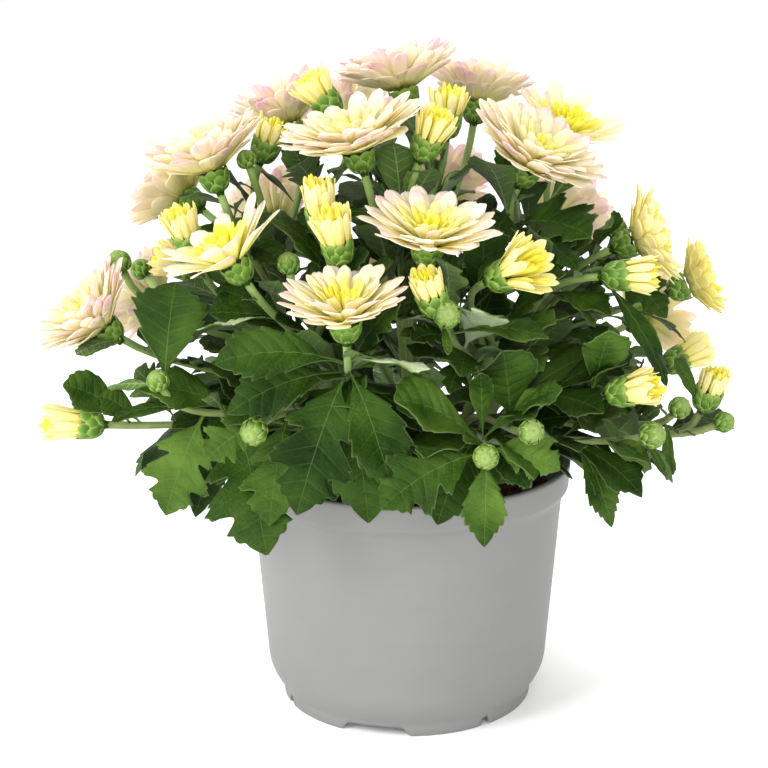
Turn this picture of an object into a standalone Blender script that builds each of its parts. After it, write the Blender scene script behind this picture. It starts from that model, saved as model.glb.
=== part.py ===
"""Potted chrysanthemum: a dome of cream-yellow flowers over lobed leaves in a thin plastic nursery pot.

The tables and functions work in millimetres, and only make_object turns them into Blender's metres.
+Z is up, -Y is the front, and the origin is under the middle of the pot, on the surface it stands on.
"""

import math
import random

import bmesh
import bpy
from mathutils import Matrix, Vector
from mathutils.bvhtree import BVHTree

MM = 0.001
GAP = 0.3  # kept between two pieces that touch
SEED = 11
FLAT = math.radians(1.0)

# Pot: (radius, height) from the middle of the underside, round the foot and the lip, to the middle of the floor
POT_SIDES = 30
FOOT_RADIUS = 50.2
RIM_RADIUS = 65.3
POT_HEIGHT = 98.5
FLOOR_UNDER = 4.6
FLOOR_TOP = 6.0
SOIL_LOW = 16.6  # height where the wall's inner slope to the floor begins
POT_PROFILE = (
    (0.0, FLOOR_UNDER),
    (48.4, FLOOR_UNDER),
    (48.8, 0.0),
    (FOOT_RADIUS, 0.0),
    (50.7, 5.0),
    (53.8, 9.6),
    (56.4, 16.0),
    (62.1, 84.8),
    (64.7, 88.6),
    (RIM_RADIUS, 97.6),
    (64.6, POT_HEIGHT),
    (63.2, POT_HEIGHT),
    (62.7, 89.6),
    (60.9, 85.6),
    (55.1, SOIL_LOW),
    (49.4, FLOOR_TOP),
    (0.0, FLOOR_TOP),
)
WIDE_GAPS_AT = (-14.5, 105.5, 225.5)  # degrees round from the front towards +X
WIDE_GAP_HALF = (14.5, 10.4)  # half its width at the ground and at its top
WIDE_GAP_HEIGHT = 3.6
NOTCHES_AT = (37.5, 165.5, 293.5)
NOTCH_HALF = (2.6, 1.1)
NOTCH_HEIGHT = 3.9
FOOT_INSIDE = 44.0  # how far in from the front the cutters of the foot's gaps reach
DRAIN_HOLES = 5
DRAIN_RADIUS = 3.5
DRAIN_CIRCLE = 36.0
DRAIN_TURN = 10.0  # degrees from the front to the first hole

# Soil
SOIL_TOP = 83.0
SOIL_SIDES = 20
SOIL_MOUND = 1.6  # height of its unevenness
HOLE_DEPTH = 24.0
COLLAR = 5.0  # height over the soil up to which a stem is upright

# Stems: foot in the soil (x, y), and the top that the main stem grows to
STEM_RADIUS = (2.6, 1.7)
STEM_SIDES = 6
NECK = 18.0  # height over its collar up to which a stem stays nearly upright
STEMS = {
    "centre": ((0, 4), (0, 2, 188)),
    "front_left": ((-17, -21), (-34, -52, 158)),
    "front_right": ((17, -21), (32, -52, 158)),
    "right": ((27, 8), (60, 6, 165)),
    "back": ((0, 29), (2, 58, 172)),
    "left": ((-27, 8), (-60, 6, 168)),
}

# Heads: name, stem, middle of the calyx, the way that the flower faces, and its radius.
# An opening head gives its length and the spread of its petal tips, and a bud its radius.
OPEN_HEADS = (
    ("bloom_top_front", "centre", (-17, -49, 225), (-0.25, -0.13, 0.96), 26),
    ("bloom_middle", "front_right", (7, -74, 196), (0.1, -0.33, 0.94), 24),
    ("bloom_front", "front_left", (-21, -92, 173), (-0.04, -0.34, 0.94), 22),
    ("bloom_front_left", "front_left", (-60, -66, 188), (-0.5, -0.12, 0.84), 24),
    ("bloom_upper_left", "left", (-71, -30, 215), (-0.33, 0.02, 0.94), 25),
    ("bloom_far_left", "left", (-112, -34, 158), (-0.66, -0.45, 0.6), 24),
    ("bloom_crown", "centre", (-1, 8, 241), (-0.24, 0.18, 0.95), 26),
    ("bloom_crown_left", "left", (-46, 20, 226), (-0.34, 0.14, 0.93), 22),
    ("bloom_crown_right", "centre", (28, 50, 231), (0.14, 0.3, 0.94), 23),
    ("bloom_upper_right", "right", (44, -24, 216), (0.42, -0.25, 0.88), 27),
    ("bloom_right_shoulder", "right", (61, 32, 219), (0.3, -0.3, 0.9), 24),
    ("bloom_right", "right", (84, -14, 187), (0.86, -0.1, 0.36), 20),
    ("bloom_far_right", "right", (110, 16, 164), (0.88, -0.1, 0.4), 17),
    ("bloom_left_shoulder", "left", (-86, 20, 198), (-0.78, 0.3, 0.55), 22),
    ("bloom_back_crown", "back", (-26, 62, 219), (-0.3, 0.6, 0.75), 23),
    ("bloom_back", "back", (14, 90, 188), (0.1, 0.8, 0.6), 25),
    ("bloom_back_left", "back", (-56, 80, 178), (-0.5, 0.75, 0.5), 23),
    ("bloom_back_right", "back", (62, 76, 180), (0.55, 0.7, 0.5), 23),
    ("bloom_low_back", "back", (-14, 97, 141), (-0.1, 0.95, 0.4), 22),
    ("bloom_low_left", "left", (-102, 48, 150), (-0.85, 0.4, 0.35), 22),
    ("bloom_low_right", "right", (98, 62, 140), (0.8, 0.55, 0.3), 22),
)
OPENING_HEADS = (
    ("opening_top", "centre", (-30, -62, 205), (-0.12, -0.2, 1.0), 15, 6),
    ("opening_upper", "front_left", (-24, -72, 196), (-0.2, -0.3, 0.93), 16, 8),
    ("opening_high", "centre", (7, -42, 228), (0.36, -0.2, 0.9), 14, 8),
    ("opening_middle", "front_right", (33, -76, 187), (0.72, -0.45, 0.4), 17, 12),
    ("opening_pair", "front_right", (9, -84, 180), (-0.3, -0.35, 0.88), 13, 6),
    ("opening_far_left", "front_left", (-118, -50, 126), (-0.95, -0.25, 0.12), 17, 7),
    ("opening_low_right", "front_right", (78, -60, 141), (0.82, -0.42, 0.3), 15, 7),
    ("opening_far_right", "right", (117, -12, 126), (0.28, -0.2, 0.93), 13, 6),
    ("opening_right", "right", (77, -46, 181), (0.93, -0.25, 0.1), 15, 7),
    ("opening_left", "left", (-80, -40, 193), (-0.25, -0.3, 0.9), 14, 7),
    ("opening_crown", "left", (-30, -12, 240), (-0.6, -0.05, 0.75), 13, 9),
    ("opening_shoulder", "left", (-54, -2, 222), (0.35, -0.15, 0.9), 12, 7),
    ("opening_top_right", "centre", (15, -6, 232), (0.05, -0.1, 1.0), 14, 8),
    ("opening_left_edge", "left", (-85, -8, 177), (-0.9, -0.1, 0.4), 14, 8),
    ("opening_back", "back", (34, 98, 150), (0.35, 0.85, 0.45), 16, 8),
    ("opening_back_left", "back", (-72, 84, 136), (-0.55, 0.8, 0.3), 16, 8),
    ("opening_back_right", "right", (112, 38, 128), (0.85, 0.3, 0.4), 16, 8),
)
BUDS = (
    ("front_left", (-54, -86, 133), (-0.2, -0.7, -0.1), 5.0),
    ("front_left", (-90, -64, 147), (-0.3, -0.3, 0.85), 4.2),
    ("left", (-111, -9, 180), (-0.3, -0.1, 0.9), 4.8),
    ("front_left", (-42, -64, 190), (-0.1, -0.2, 0.95), 4.2),
    ("front_right", (27, -102, 129), (-0.05, -0.8, 0.1), 4.6),
    ("front_right", (43, -98, 137), (0.15, -0.8, 0.3), 4.6),
    ("right", (80, -8, 193), (0.1, -0.2, 0.95), 4.4),
    ("front_right", (90, -64, 126), (0.5, -0.5, 0.3), 5.0),
    ("right", (104, -32, 128), (0.4, -0.4, 0.7), 4.4),
    ("right", (124, -18, 118), (0.7, -0.2, 0.4), 4.2),
    ("left", (-60, -22, 221), (-0.3, -0.1, 0.9), 3.8),
    ("front_right", (14, -88, 176), (0.1, -0.8, 0.2), 5.0),
    ("back", (12, 104, 166), (0.1, 0.7, 0.6), 4.6),
    ("left", (-108, 26, 170), (-0.6, 0.3, 0.7), 4.4),
)

# Leaves chosen by hand: stem, root, tip, the way that the upper side faces, cut, and width over length
FRONT_LEAVES = (
    ("front_left", (-81, -52, 124), (-92, -66, 87), (-0.2, -1.0, 0.3), "lobed", 0.72),
    ("front_left", (-58, -62, 123), (-50, -88, 89), (0.0, -1.0, 0.3), "lobed", 0.66),
    ("front_left", (-20, -84, 149), (-42, -104, 97), (0.0, -1.0, 0.2), "lobed", 0.62),
    ("front_left", (-18, -86, 150), (-5, -104, 117), (0.2, -1.0, 0.3), "whole", 0.46),
    ("front_left", (-18, -88, 155), (14, -100, 158), (0.0, -0.1, -1.0), "whole", 0.4),
    ("front_right", (28, -82, 133), (-4, -104, 150), (-0.2, -0.7, 0.8), "whole", 0.52),
    ("front_right", (28, -92, 133), (-9, -112, 114), (-0.3, -1.0, 0.5), "lobed", 0.58),
    ("front_right", (28, -97, 131), (26, -118, 95), (0.1, -1.0, 0.3), "toothed", 0.5),
    ("front_right", (28, -87, 133), (58, -104, 124), (0.3, -1.0, 0.5), "lobed", 0.6),
    ("front_right", (29, -72, 133), (64, -94, 142), (0.0, -0.6, 1.0), "whole", 0.36),
    ("front_right", (28, -77, 133), (25, -98, 158), (0.0, -0.9, -0.4), "whole", 0.26),
    ("front_right", (66, -42, 122), (78, -50, 84), (0.6, -0.8, 0.1), "toothed", 0.34),
    ("left", (-89, -34, 143), (-84, -40, 180), (-0.2, -1.0, 0.2), "lobed", 0.72),
    ("front_left", (-24, -80, 161), (-66, -92, 160), (0.0, -0.9, 0.7), "toothed", 0.42),
    ("front_left", (-14, -62, 138), (-12, -82, 88), (0.1, -1.0, 0.3), "whole", 0.56),
    ("front_right", (18, -62, 134), (8, -84, 92), (-0.1, -1.0, 0.3), "whole", 0.56),
    ("front_left", (-44, -60, 132), (-68, -74, 96), (-0.3, -1.0, 0.3), "whole", 0.6),
    ("front_left", (-24, -80, 150), (-62, -92, 142), (0.0, -1.0, 0.5), "toothed", 0.44),
    ("front_left", (-40, -66, 166), (-74, -72, 166), (0.0, -0.3, -1.0), "toothed", 0.3),
    ("front_right", (46, -70, 141), (52, -84, 166), (0.1, -1.0, 0.1), "whole", 0.6),
    ("front_right", (66, -58, 136), (72, -70, 166), (0.2, -1.0, 0.2), "whole", 0.56),
    ("front_right", (22, -76, 170), (57, -84, 166), (0.1, -0.5, 0.9), "whole", 0.3),
    ("right", (36, -26, 184), (66, -50, 196), (0.2, -0.9, 0.5), "lobed", 0.6),
    ("front_left", (-96, -54, 127), (-120, -66, 142), (-0.2, -0.9, 0.5), "whole", 0.5),
    ("front_left", (-84, -50, 134), (-108, -50, 138), (0.0, -0.5, 0.9), "whole", 0.28),
    ("front_right", (86, -60, 124), (98, -66, 104), (0.3, -0.9, 0.3), "whole", 0.26),
    ("right", (108, -20, 119), (132, -24, 114), (0.1, -0.4, 1.0), "whole", 0.26),
)

# Leaves by rule, two on each flower's branch, and a skirt that hangs over the rim where none was chosen by hand
BRANCH_LEAF_AT = (0.42, 0.74)
TOP_BRANCH_LEAF_AT = (0.6,)
TOP_HEAD = 178.0  # height over which a branch has only the one leaf
MAIN_LEAF_AT = (0.14, 0.5)
MAIN_LEAF_LENGTH = 44.0
TURN = 137.5  # degrees from one leaf to the next
LEAF_LENGTH = (24.0, 40.0)  # at the top of the dome and at its foot
LEAF_THICKNESS = 0.7
LEAF_ARCH = 0.16  # rise of the bend's control point, as a share of the length
LEAF_FOLD = 0.22  # rise of the edges over the rib, as a share of the half width
CLEARANCE = 0.5  # kept between a leaf and what belongs to another node
SKIRT = (
    ("right", (95, 122, 149)),
    ("back", (166, 190, 214)),
    ("left", (-146, -120, -95)),
)
SKIRT_ROOT = (52.0, 128.0)  # radius and height, as for the tip
SKIRT_TIP = (112.0, 88.0)
TRIES = tuple(
    (turn, size)
    for size in (1.0, 0.82, 0.66)
    for turn in (0, 28, -28, 56, -56, 84, -84, 112, -112)
)

# Half outlines: (share of the length, share of the half width), root first; and the shares of the length on the rib
OUTLINES = {
    "lobed": (
        ((0.0, 0.05), (0.2, 0.1), (0.46, 0.78), (0.55, 0.4), (0.74, 1.0), (0.8, 0.5), (0.9, 0.42)),
        (0.0, 0.24, 0.5, 0.76, 1.0),
    ),
    "toothed": (
        ((0.0, 0.05), (0.18, 0.12), (0.5, 0.9), (0.58, 0.72), (0.76, 1.0), (0.8, 0.7)),
        (0.0, 0.3, 0.66, 1.0),
    ),
    "whole": (
        ((0.0, 0.06), (0.18, 0.16), (0.52, 0.95), (0.8, 0.72)),
        (0.0, 0.4, 1.0),
    ),
}
OUTLINES["skirt"] = (
    ((0.0, 0.05), (0.2, 0.1), (0.45, 0.82), (0.56, 0.48), (0.76, 1.0), (0.86, 0.5)),
    (0.0, 0.3, 0.66, 1.0),
)
SMALL_OUTLINES = {
    "lobed": (
        ((0.0, 0.06), (0.24, 0.2), (0.5, 0.95), (0.6, 0.5), (0.8, 0.85)),
        (0.0, 0.45, 1.0),
    ),
    "whole": OUTLINES["whole"],
}

# Bloom: (radius, height) above the calyx's middle, as shares of the bloom's radius where noted
PETALS = 10
CALYX_SIDES = 6
BLOOM_FOOT = 0.36  # height of its lowest point
WHORL_RING = (6.0, 2.95)
WHORL_MIDDLE = (0.83, 0.44)
WHORL_TIP = (1.0, 0.5)
WHORL_THICK = 0.95
INNER_FOOT = (4.8, 0.22)
INNER_TIP = (0.6, 0.72)
INNER_NOTCH = (0.42, 0.5)
BLOOM_APEX = 0.48
OPENING_PETALS = 8
OPENING_FOOT = (4.2, 2.3)  # radius and height
OPENING_NOTCH = (0.78, 0.66)  # shares of the spread and of the length
OPENING_APEX = 0.6
PETAL_FILL = 0.84  # share of its sector that a petal takes where it is widest

# Calyx and pedicel: (distance behind the calyx's middle, radius), and the rim of the calyx's shallow dish
PEDICEL_RADIUS = 1.3
FIRST_BRANCH = 0.25  # share of a main stem's length under its lowest branch
SHORT_BRANCH = 45.0
BUD_SIDES = 5
CALYX_STEPS = ((7.0, 1.6), (2.6, 5.3))
CALYX_RIM = (6.4, 2.5, 1.3)  # radius, and the heights of its tall and its short bracts
BUD_SHAPE = ((0.2, 0.75), (0.9, 1.0), (1.6, 0.55))  # (distance, radius), as shares of the bud's radius

COLOURS = {
    "pot": ((0.62, 0.62, 0.61), 0.55),
    "soil": ((0.07, 0.045, 0.03), 1.0),
    "leaf": ((0.10, 0.19, 0.07), 0.6),
    "petal": ((0.93, 0.86, 0.50), 0.7),
}


def rotated_frame(axis):
    """Rotation that takes +Z to the axis."""
    return Vector(axis).normalized().to_track_quat("Z", "Y").to_matrix()


def bezier(a, b, c, d, t):
    s = 1 - t
    return a * s**3 + b * 3 * s * s * t + c * 3 * s * t * t + d * t**3


def round_from_front(degrees, radius, height):
    turn = math.radians(degrees)
    return Vector((radius * math.sin(turn), -radius * math.cos(turn), height))


# Solids, each a pair of a list of points and a list of faces


def tube(points, radii, sides, rim=None):
    """Closed tube along the points. A rim (radius, tall, short, foot) ends it in the calyx's toothed dish."""
    verts, faces = [], []
    frame = None
    for i, (point, radius) in enumerate(zip(points, radii)):
        along = (points[min(i + 1, len(points) - 1)] - points[max(i - 1, 0)]).normalized()
        frame = rotated_frame(along) if frame is None else turned_to(frame, along)
        for k in range(sides):
            angle = 2 * math.pi * k / sides
            verts.append(point + frame @ Vector((radius * math.cos(angle), radius * math.sin(angle), 0)))
    rings = len(points)
    if rim:
        radius, tall, short = rim
        for k in range(sides):
            angle = 2 * math.pi * k / sides
            height = tall if k % 2 else short
            verts.append(rim_seat(points, frame, CALYX_STEPS[-1][0]) + frame @ Vector(
                (radius * math.cos(angle), radius * math.sin(angle), height)))
        rings += 1
    for i in range(rings - 1):
        for k in range(sides):
            a, b = i * sides + k, i * sides + (k + 1) % sides
            faces += [(a, b, b + sides), (a, b + sides, a + sides)]
    faces.append(tuple(range(sides - 1, -1, -1)))
    last = (rings - 1) * sides
    if rim:
        verts.append(rim_seat(points, frame, CALYX_STEPS[-1][0]))
        faces += [(last + k, last + (k + 1) % sides, len(verts) - 1) for k in range(sides)]
    else:
        faces.append(tuple(range(last, last + sides)))
    return verts, faces


def rim_seat(points, frame, behind):
    return points[-1] + frame @ Vector((0, 0, behind))


def turned_to(frame, along):
    """The frame, turned by the least angle that brings its Z to the direction."""
    return frame.col[2].rotation_difference(along).to_matrix() @ frame


def blade(root, bend, tip, facing, sides_at, rib_at, width, thickness):
    """Thin leaf with a folded rib: its midline is a curve from root to tip, and its faces are split alike."""

    def midline(t):
        return root * (1 - t) ** 2 + bend * 2 * t * (1 - t) + tip * t * t

    def frame_at(t):
        along = (bend - root) * 2 * (1 - t) + (tip - bend) * 2 * t
        along.normalize()
        up = facing - along * facing.dot(along)
        up.normalize()
        return along.cross(up), up

    length = (bend - root).length + (tip - bend).length
    half = width * length / 2
    top = [midline(t) for t in rib_at]
    ups = [frame_at(t)[1] for t in rib_at]
    edges = []
    for side in (1, -1):
        start = len(top)
        for t, share in sides_at:
            across, up = frame_at(t)
            rise = LEAF_FOLD * share * half
            top.append(midline(t) + across * side * share * half + up * rise)
            ups.append(up)
        edges.append(list(range(start, len(top))))
    half_faces = []
    last_rib = len(rib_at) - 1
    for side, edge in zip((1, -1), edges):
        chain = edge + [last_rib]
        places = [t for t, _ in sides_at] + [1.0]
        i = j = 0
        while i < last_rib or j < len(chain) - 1:
            ahead_rib = rib_at[i + 1] if i < last_rib else 9
            ahead_edge = places[j + 1] if j < len(chain) - 1 else 9
            if ahead_edge <= ahead_rib:
                face = (i, chain[j], chain[j + 1])
                j += 1
            else:
                face = (i, chain[j], i + 1)
                i += 1
            if len(set(face)) == 3:
                half_faces.append(face if side > 0 else face[::-1])
    count = len(top)
    verts = [p + u * thickness / 2 for p, u in zip(top, ups)] + [p - u * thickness / 2 for p, u in zip(top, ups)]
    faces = half_faces + [tuple(v + count for v in face[::-1]) for face in half_faces]
    border = [0] + edges[0] + [last_rib] + edges[1][::-1]
    for a, b in zip(border, border[1:] + border[:1]):
        faces += [(a, b, b + count), (a, b + count, a + count)]
    return verts, faces


def bloom(radius):
    """Whorl of flat petals round a crown of upright ones, as one closed surface standing on +Z."""
    sector = 2 * math.pi / PETALS
    low = WHORL_RING[1]
    rows = (
        (-0.5, WHORL_RING[0], low),
        (-PETAL_FILL / 2, WHORL_MIDDLE[0] * radius, low + WHORL_MIDDLE[1] * radius),
        (0.0, WHORL_TIP[0] * radius, low + WHORL_TIP[1] * radius),
        (PETAL_FILL / 2, WHORL_MIDDLE[0] * radius, low + WHORL_MIDDLE[1] * radius),
    )
    verts = [Vector((0, 0, BLOOM_FOOT))]
    faces = []
    for k in range(PETALS):
        for shift, r, h in rows:
            angle = (k + shift) * sector
            for lift in (0, WHORL_THICK):
                verts.append(Vector((r * math.cos(angle), r * math.sin(angle), h + lift)))
    crown = len(verts)
    for k in range(PETALS):
        for shift, r, h in (
            (-0.5, INNER_FOOT[0], low + INNER_FOOT[1] * radius),
            (0.0, INNER_NOTCH[0] * radius, INNER_NOTCH[1] * radius),
            (0.5, INNER_TIP[0] * radius, INNER_TIP[1] * radius),
        ):
            angle = (k + shift) * sector
            verts.append(Vector((r * math.cos(angle), r * math.sin(angle), h)))
    verts.append(Vector((0, 0, BLOOM_APEX * radius)))
    for k in range(PETALS):
        after_k = (k + 1) % PETALS
        a = 1 + 8 * k
        b, c, d, e = a + 2, a + 4, a + 6, 1 + 8 * after_k
        faces += [(a, b, e), (b, d, e), (b, c, d)]
        faces += [(a + 1, e + 1, b + 1), (b + 1, e + 1, d + 1), (b + 1, d + 1, c + 1)]
        for p, q in ((a, b), (b, c), (c, d), (d, e)):
            faces += [(p, q, q + 1), (p, q + 1, p + 1)]
        faces.append((0, a, e))
        foot, foot_after = crown + 3 * k, crown + 3 * after_k
        notch, tip, tip_before = foot + 1, foot + 2, crown + 3 * ((k - 1) % PETALS) + 2
        faces += [(a + 1, foot_after, e + 1), (a + 1, foot, foot_after)]
        faces += [(foot, tip_before, notch), (foot, notch, foot_after), (foot_after, notch, tip)]
        faces += [(tip_before, len(verts) - 1, notch), (notch, len(verts) - 1, tip)]
    return verts, faces


def opening_bloom(length, spread):
    """Cup of upright petals, with pointed tips that stand clear of one another."""
    petals = OPENING_PETALS
    rows = (OPENING_FOOT, (0.45 * spread + 3.0, 0.42 * length))
    verts = [Vector((0, 0, BLOOM_FOOT))]
    for r, h in rows:
        for k in range(petals):
            angle = 2 * math.pi * k / petals
            verts.append(Vector((r * math.cos(angle), r * math.sin(angle), h)))
    crown = len(verts)
    for k in range(2 * petals):
        angle = math.pi * k / petals
        r, h = (spread, length) if k % 2 == 0 else (OPENING_NOTCH[0] * spread, OPENING_NOTCH[1] * length)
        verts.append(Vector((r * math.cos(angle), r * math.sin(angle), h)))
    verts.append(Vector((0, 0, OPENING_APEX * length)))
    faces = []
    for k in range(petals):
        a, b = 1 + k, 1 + (k + 1) % petals
        faces.append((0, b, a))
        faces += [(a, b, b + petals), (a, b + petals, a + petals)]
        low, low_next = a + petals, b + petals
        tip, notch, tip_next = crown + 2 * k, crown + 2 * k + 1, crown + (2 * k + 2) % (2 * petals)
        faces += [(low, low_next, notch), (low, notch, tip), (low_next, tip_next, notch)]
        faces += [(tip, notch, len(verts) - 1), (notch, tip_next, len(verts) - 1)]
    return verts, faces


def placed(solid, seat, axis):
    verts, faces = solid
    turn = rotated_frame(axis)
    return [Vector(seat) + turn @ v for v in verts], faces


# The plant's lines


def stem_line(name, t):
    """Point on a main stem, from just over the soil (t = 0) to its top (t = 1)."""
    (x, y), top = STEMS[name]
    collar = Vector((x, y, SOIL_TOP + COLLAR))
    neck = collar + Vector((0, 0, NECK))
    return bezier(collar, neck, neck.lerp(Vector(top), 0.45), Vector(top), t)


def branch_starts():
    """The t at which each head's branch leaves its main stem: spread evenly, the lowest heads first."""
    starts = {}
    for name in STEMS:
        seats = [head[2] for head in OPEN_HEADS + OPENING_HEADS if head[1] == name]
        seats += [bud[1] for bud in BUDS if bud[0] == name]
        seats.sort(key=lambda seat: seat[2])
        for order, seat in enumerate(seats):
            starts[seat] = FIRST_BRANCH + (0.98 - FIRST_BRANCH) * order / (len(seats) - 1)
    return starts


def branch_line(name, seat, axis, behind, starts):
    """Centre line of a branch, from inside its main stem to the foot of the calyx or bud."""
    start = stem_line(name, starts[seat])
    seat, axis = Vector(seat), Vector(axis).normalized()
    end = seat - axis * behind
    reach = (end - start).length
    rise = Vector((0, 0, 1)) * 0.6 + (end - start).normalized() * 0.4
    return [
        bezier(start, start + rise * reach * 0.35, end - axis * reach * 0.35, end, t)
        for t in ((0.0, 0.36, 0.7, 1.0) if reach > SHORT_BRANCH else (0.0, 0.55, 1.0))
    ]


def nearest_on_lines(lines, point):
    """The place on the lines that lies nearest to the point."""
    best = None
    for line in lines:
        for a, b in zip(line, line[1:]):
            span = b - a
            share = max(0.0, min(1.0, (point - a).dot(span) / span.length_squared))
            at = a + span * share
            if best is None or (at - point).length < (best - point).length:
                best = at
    return best


class Plant:
    """The solids of each node, and the test that keeps one node clear of another."""

    def __init__(self):
        self.solids = {}
        self.trees = []

    def add(self, node, solid):
        self.solids.setdefault(node, []).append(solid)
        tree = BVHTree.FromPolygons([tuple(v) for v in solid[0]], solid[1])
        low = Vector([min(v[i] for v in solid[0]) for i in range(3)])
        high = Vector([max(v[i] for v in solid[0]) for i in range(3)])
        self.trees.append((node, tree, low, high))

    def crossed(self, solid, own=None):
        """Names of the nodes, apart from its own, that a solid meets."""
        tree = BVHTree.FromPolygons([tuple(v) for v in solid[0]], solid[1])
        low = [min(v[i] for v in solid[0]) for i in range(3)]
        high = [max(v[i] for v in solid[0]) for i in range(3)]
        found = set()
        for node, other, other_low, other_high in self.trees:
            if node == own or node in found:
                continue
            if all(low[i] <= other_high[i] and other_low[i] <= high[i] for i in range(3)):
                if tree.overlap(other):
                    found.add(node)
        return found


def leaf_solid(root, tip, facing, cut, width, fat=0.0, small=False):
    root, tip, facing = Vector(root), Vector(tip), Vector(facing).normalized()
    bend = root.lerp(tip, 0.5) + Vector((0, 0, LEAF_ARCH)) * (tip - root).length
    outline, rib = (SMALL_OUTLINES if small else OUTLINES)[cut]
    return blade(root, bend, tip, facing, outline, rib, width, LEAF_THICKNESS + 2 * fat)


def add_leaf(plant, node, root, tip, facing, cut, width, small=False):
    """Adds the first of the leaf's tries that keeps clear of all but its own stem, or leaves it out."""
    root, tip = Vector(root), Vector(tip)
    outward = Vector((root.x, root.y, 0)).normalized()
    spare = None
    for turn, size in TRIES:
        spin = Matrix.Rotation(math.radians(turn), 3, outward + Vector((0, 0, 0.6)))
        end = root + spin @ (tip - root) * size
        if plant.crossed(leaf_solid(root, end, facing, cut, width, CLEARANCE, small), node):
            continue
        solid = leaf_solid(root, end, facing, cut, width, small=small)
        if not plant.crossed(leaf_solid(root.lerp(end, 0.25), end, facing, cut, width, 0.0, small)):
            plant.add(node, solid)
            return True
        spare = spare or solid
    if spare and not small:
        plant.add(node, spare)
    return bool(spare) and not small


# Objects


def make_object(name, solids, colour):
    """One object from the node's solids, joined into one body."""
    objects = []
    for verts, faces in solids:
        mesh = bpy.data.meshes.new(name)
        mesh.from_pydata([tuple(v * MM) for v in verts], [], faces)
        edit = bmesh.new()
        edit.from_mesh(mesh)
        bmesh.ops.recalc_face_normals(edit, faces=edit.faces)
        if edit.calc_volume(signed=True) < 0:
            bmesh.ops.reverse_faces(edit, faces=edit.faces)
        edit.to_mesh(mesh)
        edit.free()
        piece = bpy.data.objects.new(name, mesh)
        bpy.context.scene.collection.objects.link(piece)
        objects.append(piece)
    if len(objects) > 1:
        join(objects)
    objects[0].name = name
    objects[0].data.materials.clear()
    objects[0].data.materials.append(material(colour))
    return objects[0]


def boolean(target, others, operation):
    """Applies one Boolean of the target with all the others, and removes them."""
    group = bpy.data.collections.new("operands")
    bpy.context.scene.collection.children.link(group)
    for other in others:
        bpy.context.scene.collection.objects.unlink(other)
        group.objects.link(other)
    modifier = target.modifiers.new("join", "BOOLEAN")
    modifier.operation = operation
    modifier.operand_type = "COLLECTION"
    modifier.collection = group
    modifier.solver = "MANIFOLD"
    bpy.context.view_layer.update()
    graph = bpy.context.evaluated_depsgraph_get()
    result = bpy.data.meshes.new_from_object(target.evaluated_get(graph))
    target.modifiers.clear()
    target.data = result
    merge_flat_faces(result)
    for other in others:
        bpy.data.objects.remove(other)
    bpy.data.collections.remove(group)


def merge_flat_faces(mesh):
    """Takes out the edges and corners that the Boolean left inside flat faces and straight edges."""
    edit = bmesh.new()
    edit.from_mesh(mesh)
    bmesh.ops.dissolve_limit(edit, angle_limit=FLAT, verts=edit.verts, edges=edit.edges)
    bmesh.ops.triangulate(edit, faces=edit.faces)
    edit.to_mesh(mesh)
    edit.free()


def join(objects):
    boolean(objects[0], objects[1:], "UNION")


def material(name):
    found = bpy.data.materials.get(name)
    if found:
        return found
    made = bpy.data.materials.new(name)
    made.use_nodes = True
    shader = made.node_tree.nodes["Principled BSDF"]
    colour, roughness = COLOURS[name]
    shader.inputs["Base Color"].default_value = (*colour, 1)
    shader.inputs["Roughness"].default_value = roughness
    made.diffuse_color = (*colour, 1)
    return made


def turned_profile(profile, sides, uneven=None):
    """Solid of revolution of a profile that starts and ends on the axis."""
    verts, faces, rows = [], [], []
    for radius, height in profile:
        if radius == 0:
            rows.append([len(verts)] * sides)
            verts.append(Vector((0, 0, height)))
            continue
        rows.append(list(range(len(verts), len(verts) + sides)))
        for k in range(sides):
            angle = 2 * math.pi * k / sides
            x, y = radius * math.cos(angle), radius * math.sin(angle)
            verts.append(Vector((x, y, height + (uneven(x, y) if uneven and height > SOIL_TOP - 2 else 0))))
    for low, high in zip(rows, rows[1:]):
        for k in range(sides):
            after = (k + 1) % sides
            face = list(dict.fromkeys((low[k], low[after], high[after], high[k])))
            if len(face) == 4:
                faces += [(face[0], face[1], face[2]), (face[0], face[2], face[3])]
            elif len(face) == 3:
                faces.append(tuple(face))
    return verts, faces


def foot_cutter(degrees, half, height):
    """Block that cuts a gap with sloping ends through the foot ring."""
    verts = []
    turn = Matrix.Rotation(math.radians(degrees), 3, "Z")
    for wide, z in ((half[0], -1.0), (half[1], height)):
        for x, y in ((-wide, FOOT_RADIUS + 6), (wide, FOOT_RADIUS + 6), (wide, FOOT_INSIDE), (-wide, FOOT_INSIDE)):
            verts.append(turn @ Vector((x, -y, z)))
    faces = [(3, 2, 1, 0), (4, 5, 6, 7)] + [(k, (k + 1) % 4, (k + 1) % 4 + 4, k + 4) for k in range(4)]
    return verts, faces


def pot_object():
    pot = make_object("pot", [turned_profile(POT_PROFILE, POT_SIDES)], "pot")
    cutters = []
    for degrees in WIDE_GAPS_AT:
        cutters.append(foot_cutter(degrees, WIDE_GAP_HALF, WIDE_GAP_HEIGHT))
    for degrees in NOTCHES_AT:
        cutters.append(foot_cutter(degrees, NOTCH_HALF, NOTCH_HEIGHT))
    for k in range(DRAIN_HOLES):
        at = round_from_front(360 / DRAIN_HOLES * k + DRAIN_TURN, DRAIN_CIRCLE, FLOOR_UNDER - 1)
        cutters.append(tube([at, at + Vector((0, 0, 4))], (DRAIN_RADIUS, DRAIN_RADIUS), 6))
    boolean(pot, [make_object("cutter", [cutter], "pot") for cutter in cutters], "DIFFERENCE")
    return pot


def soil_unevenness(x, y):
    return SOIL_MOUND * math.sin(x * 0.13 + 1) * math.cos(y * 0.11)


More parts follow.
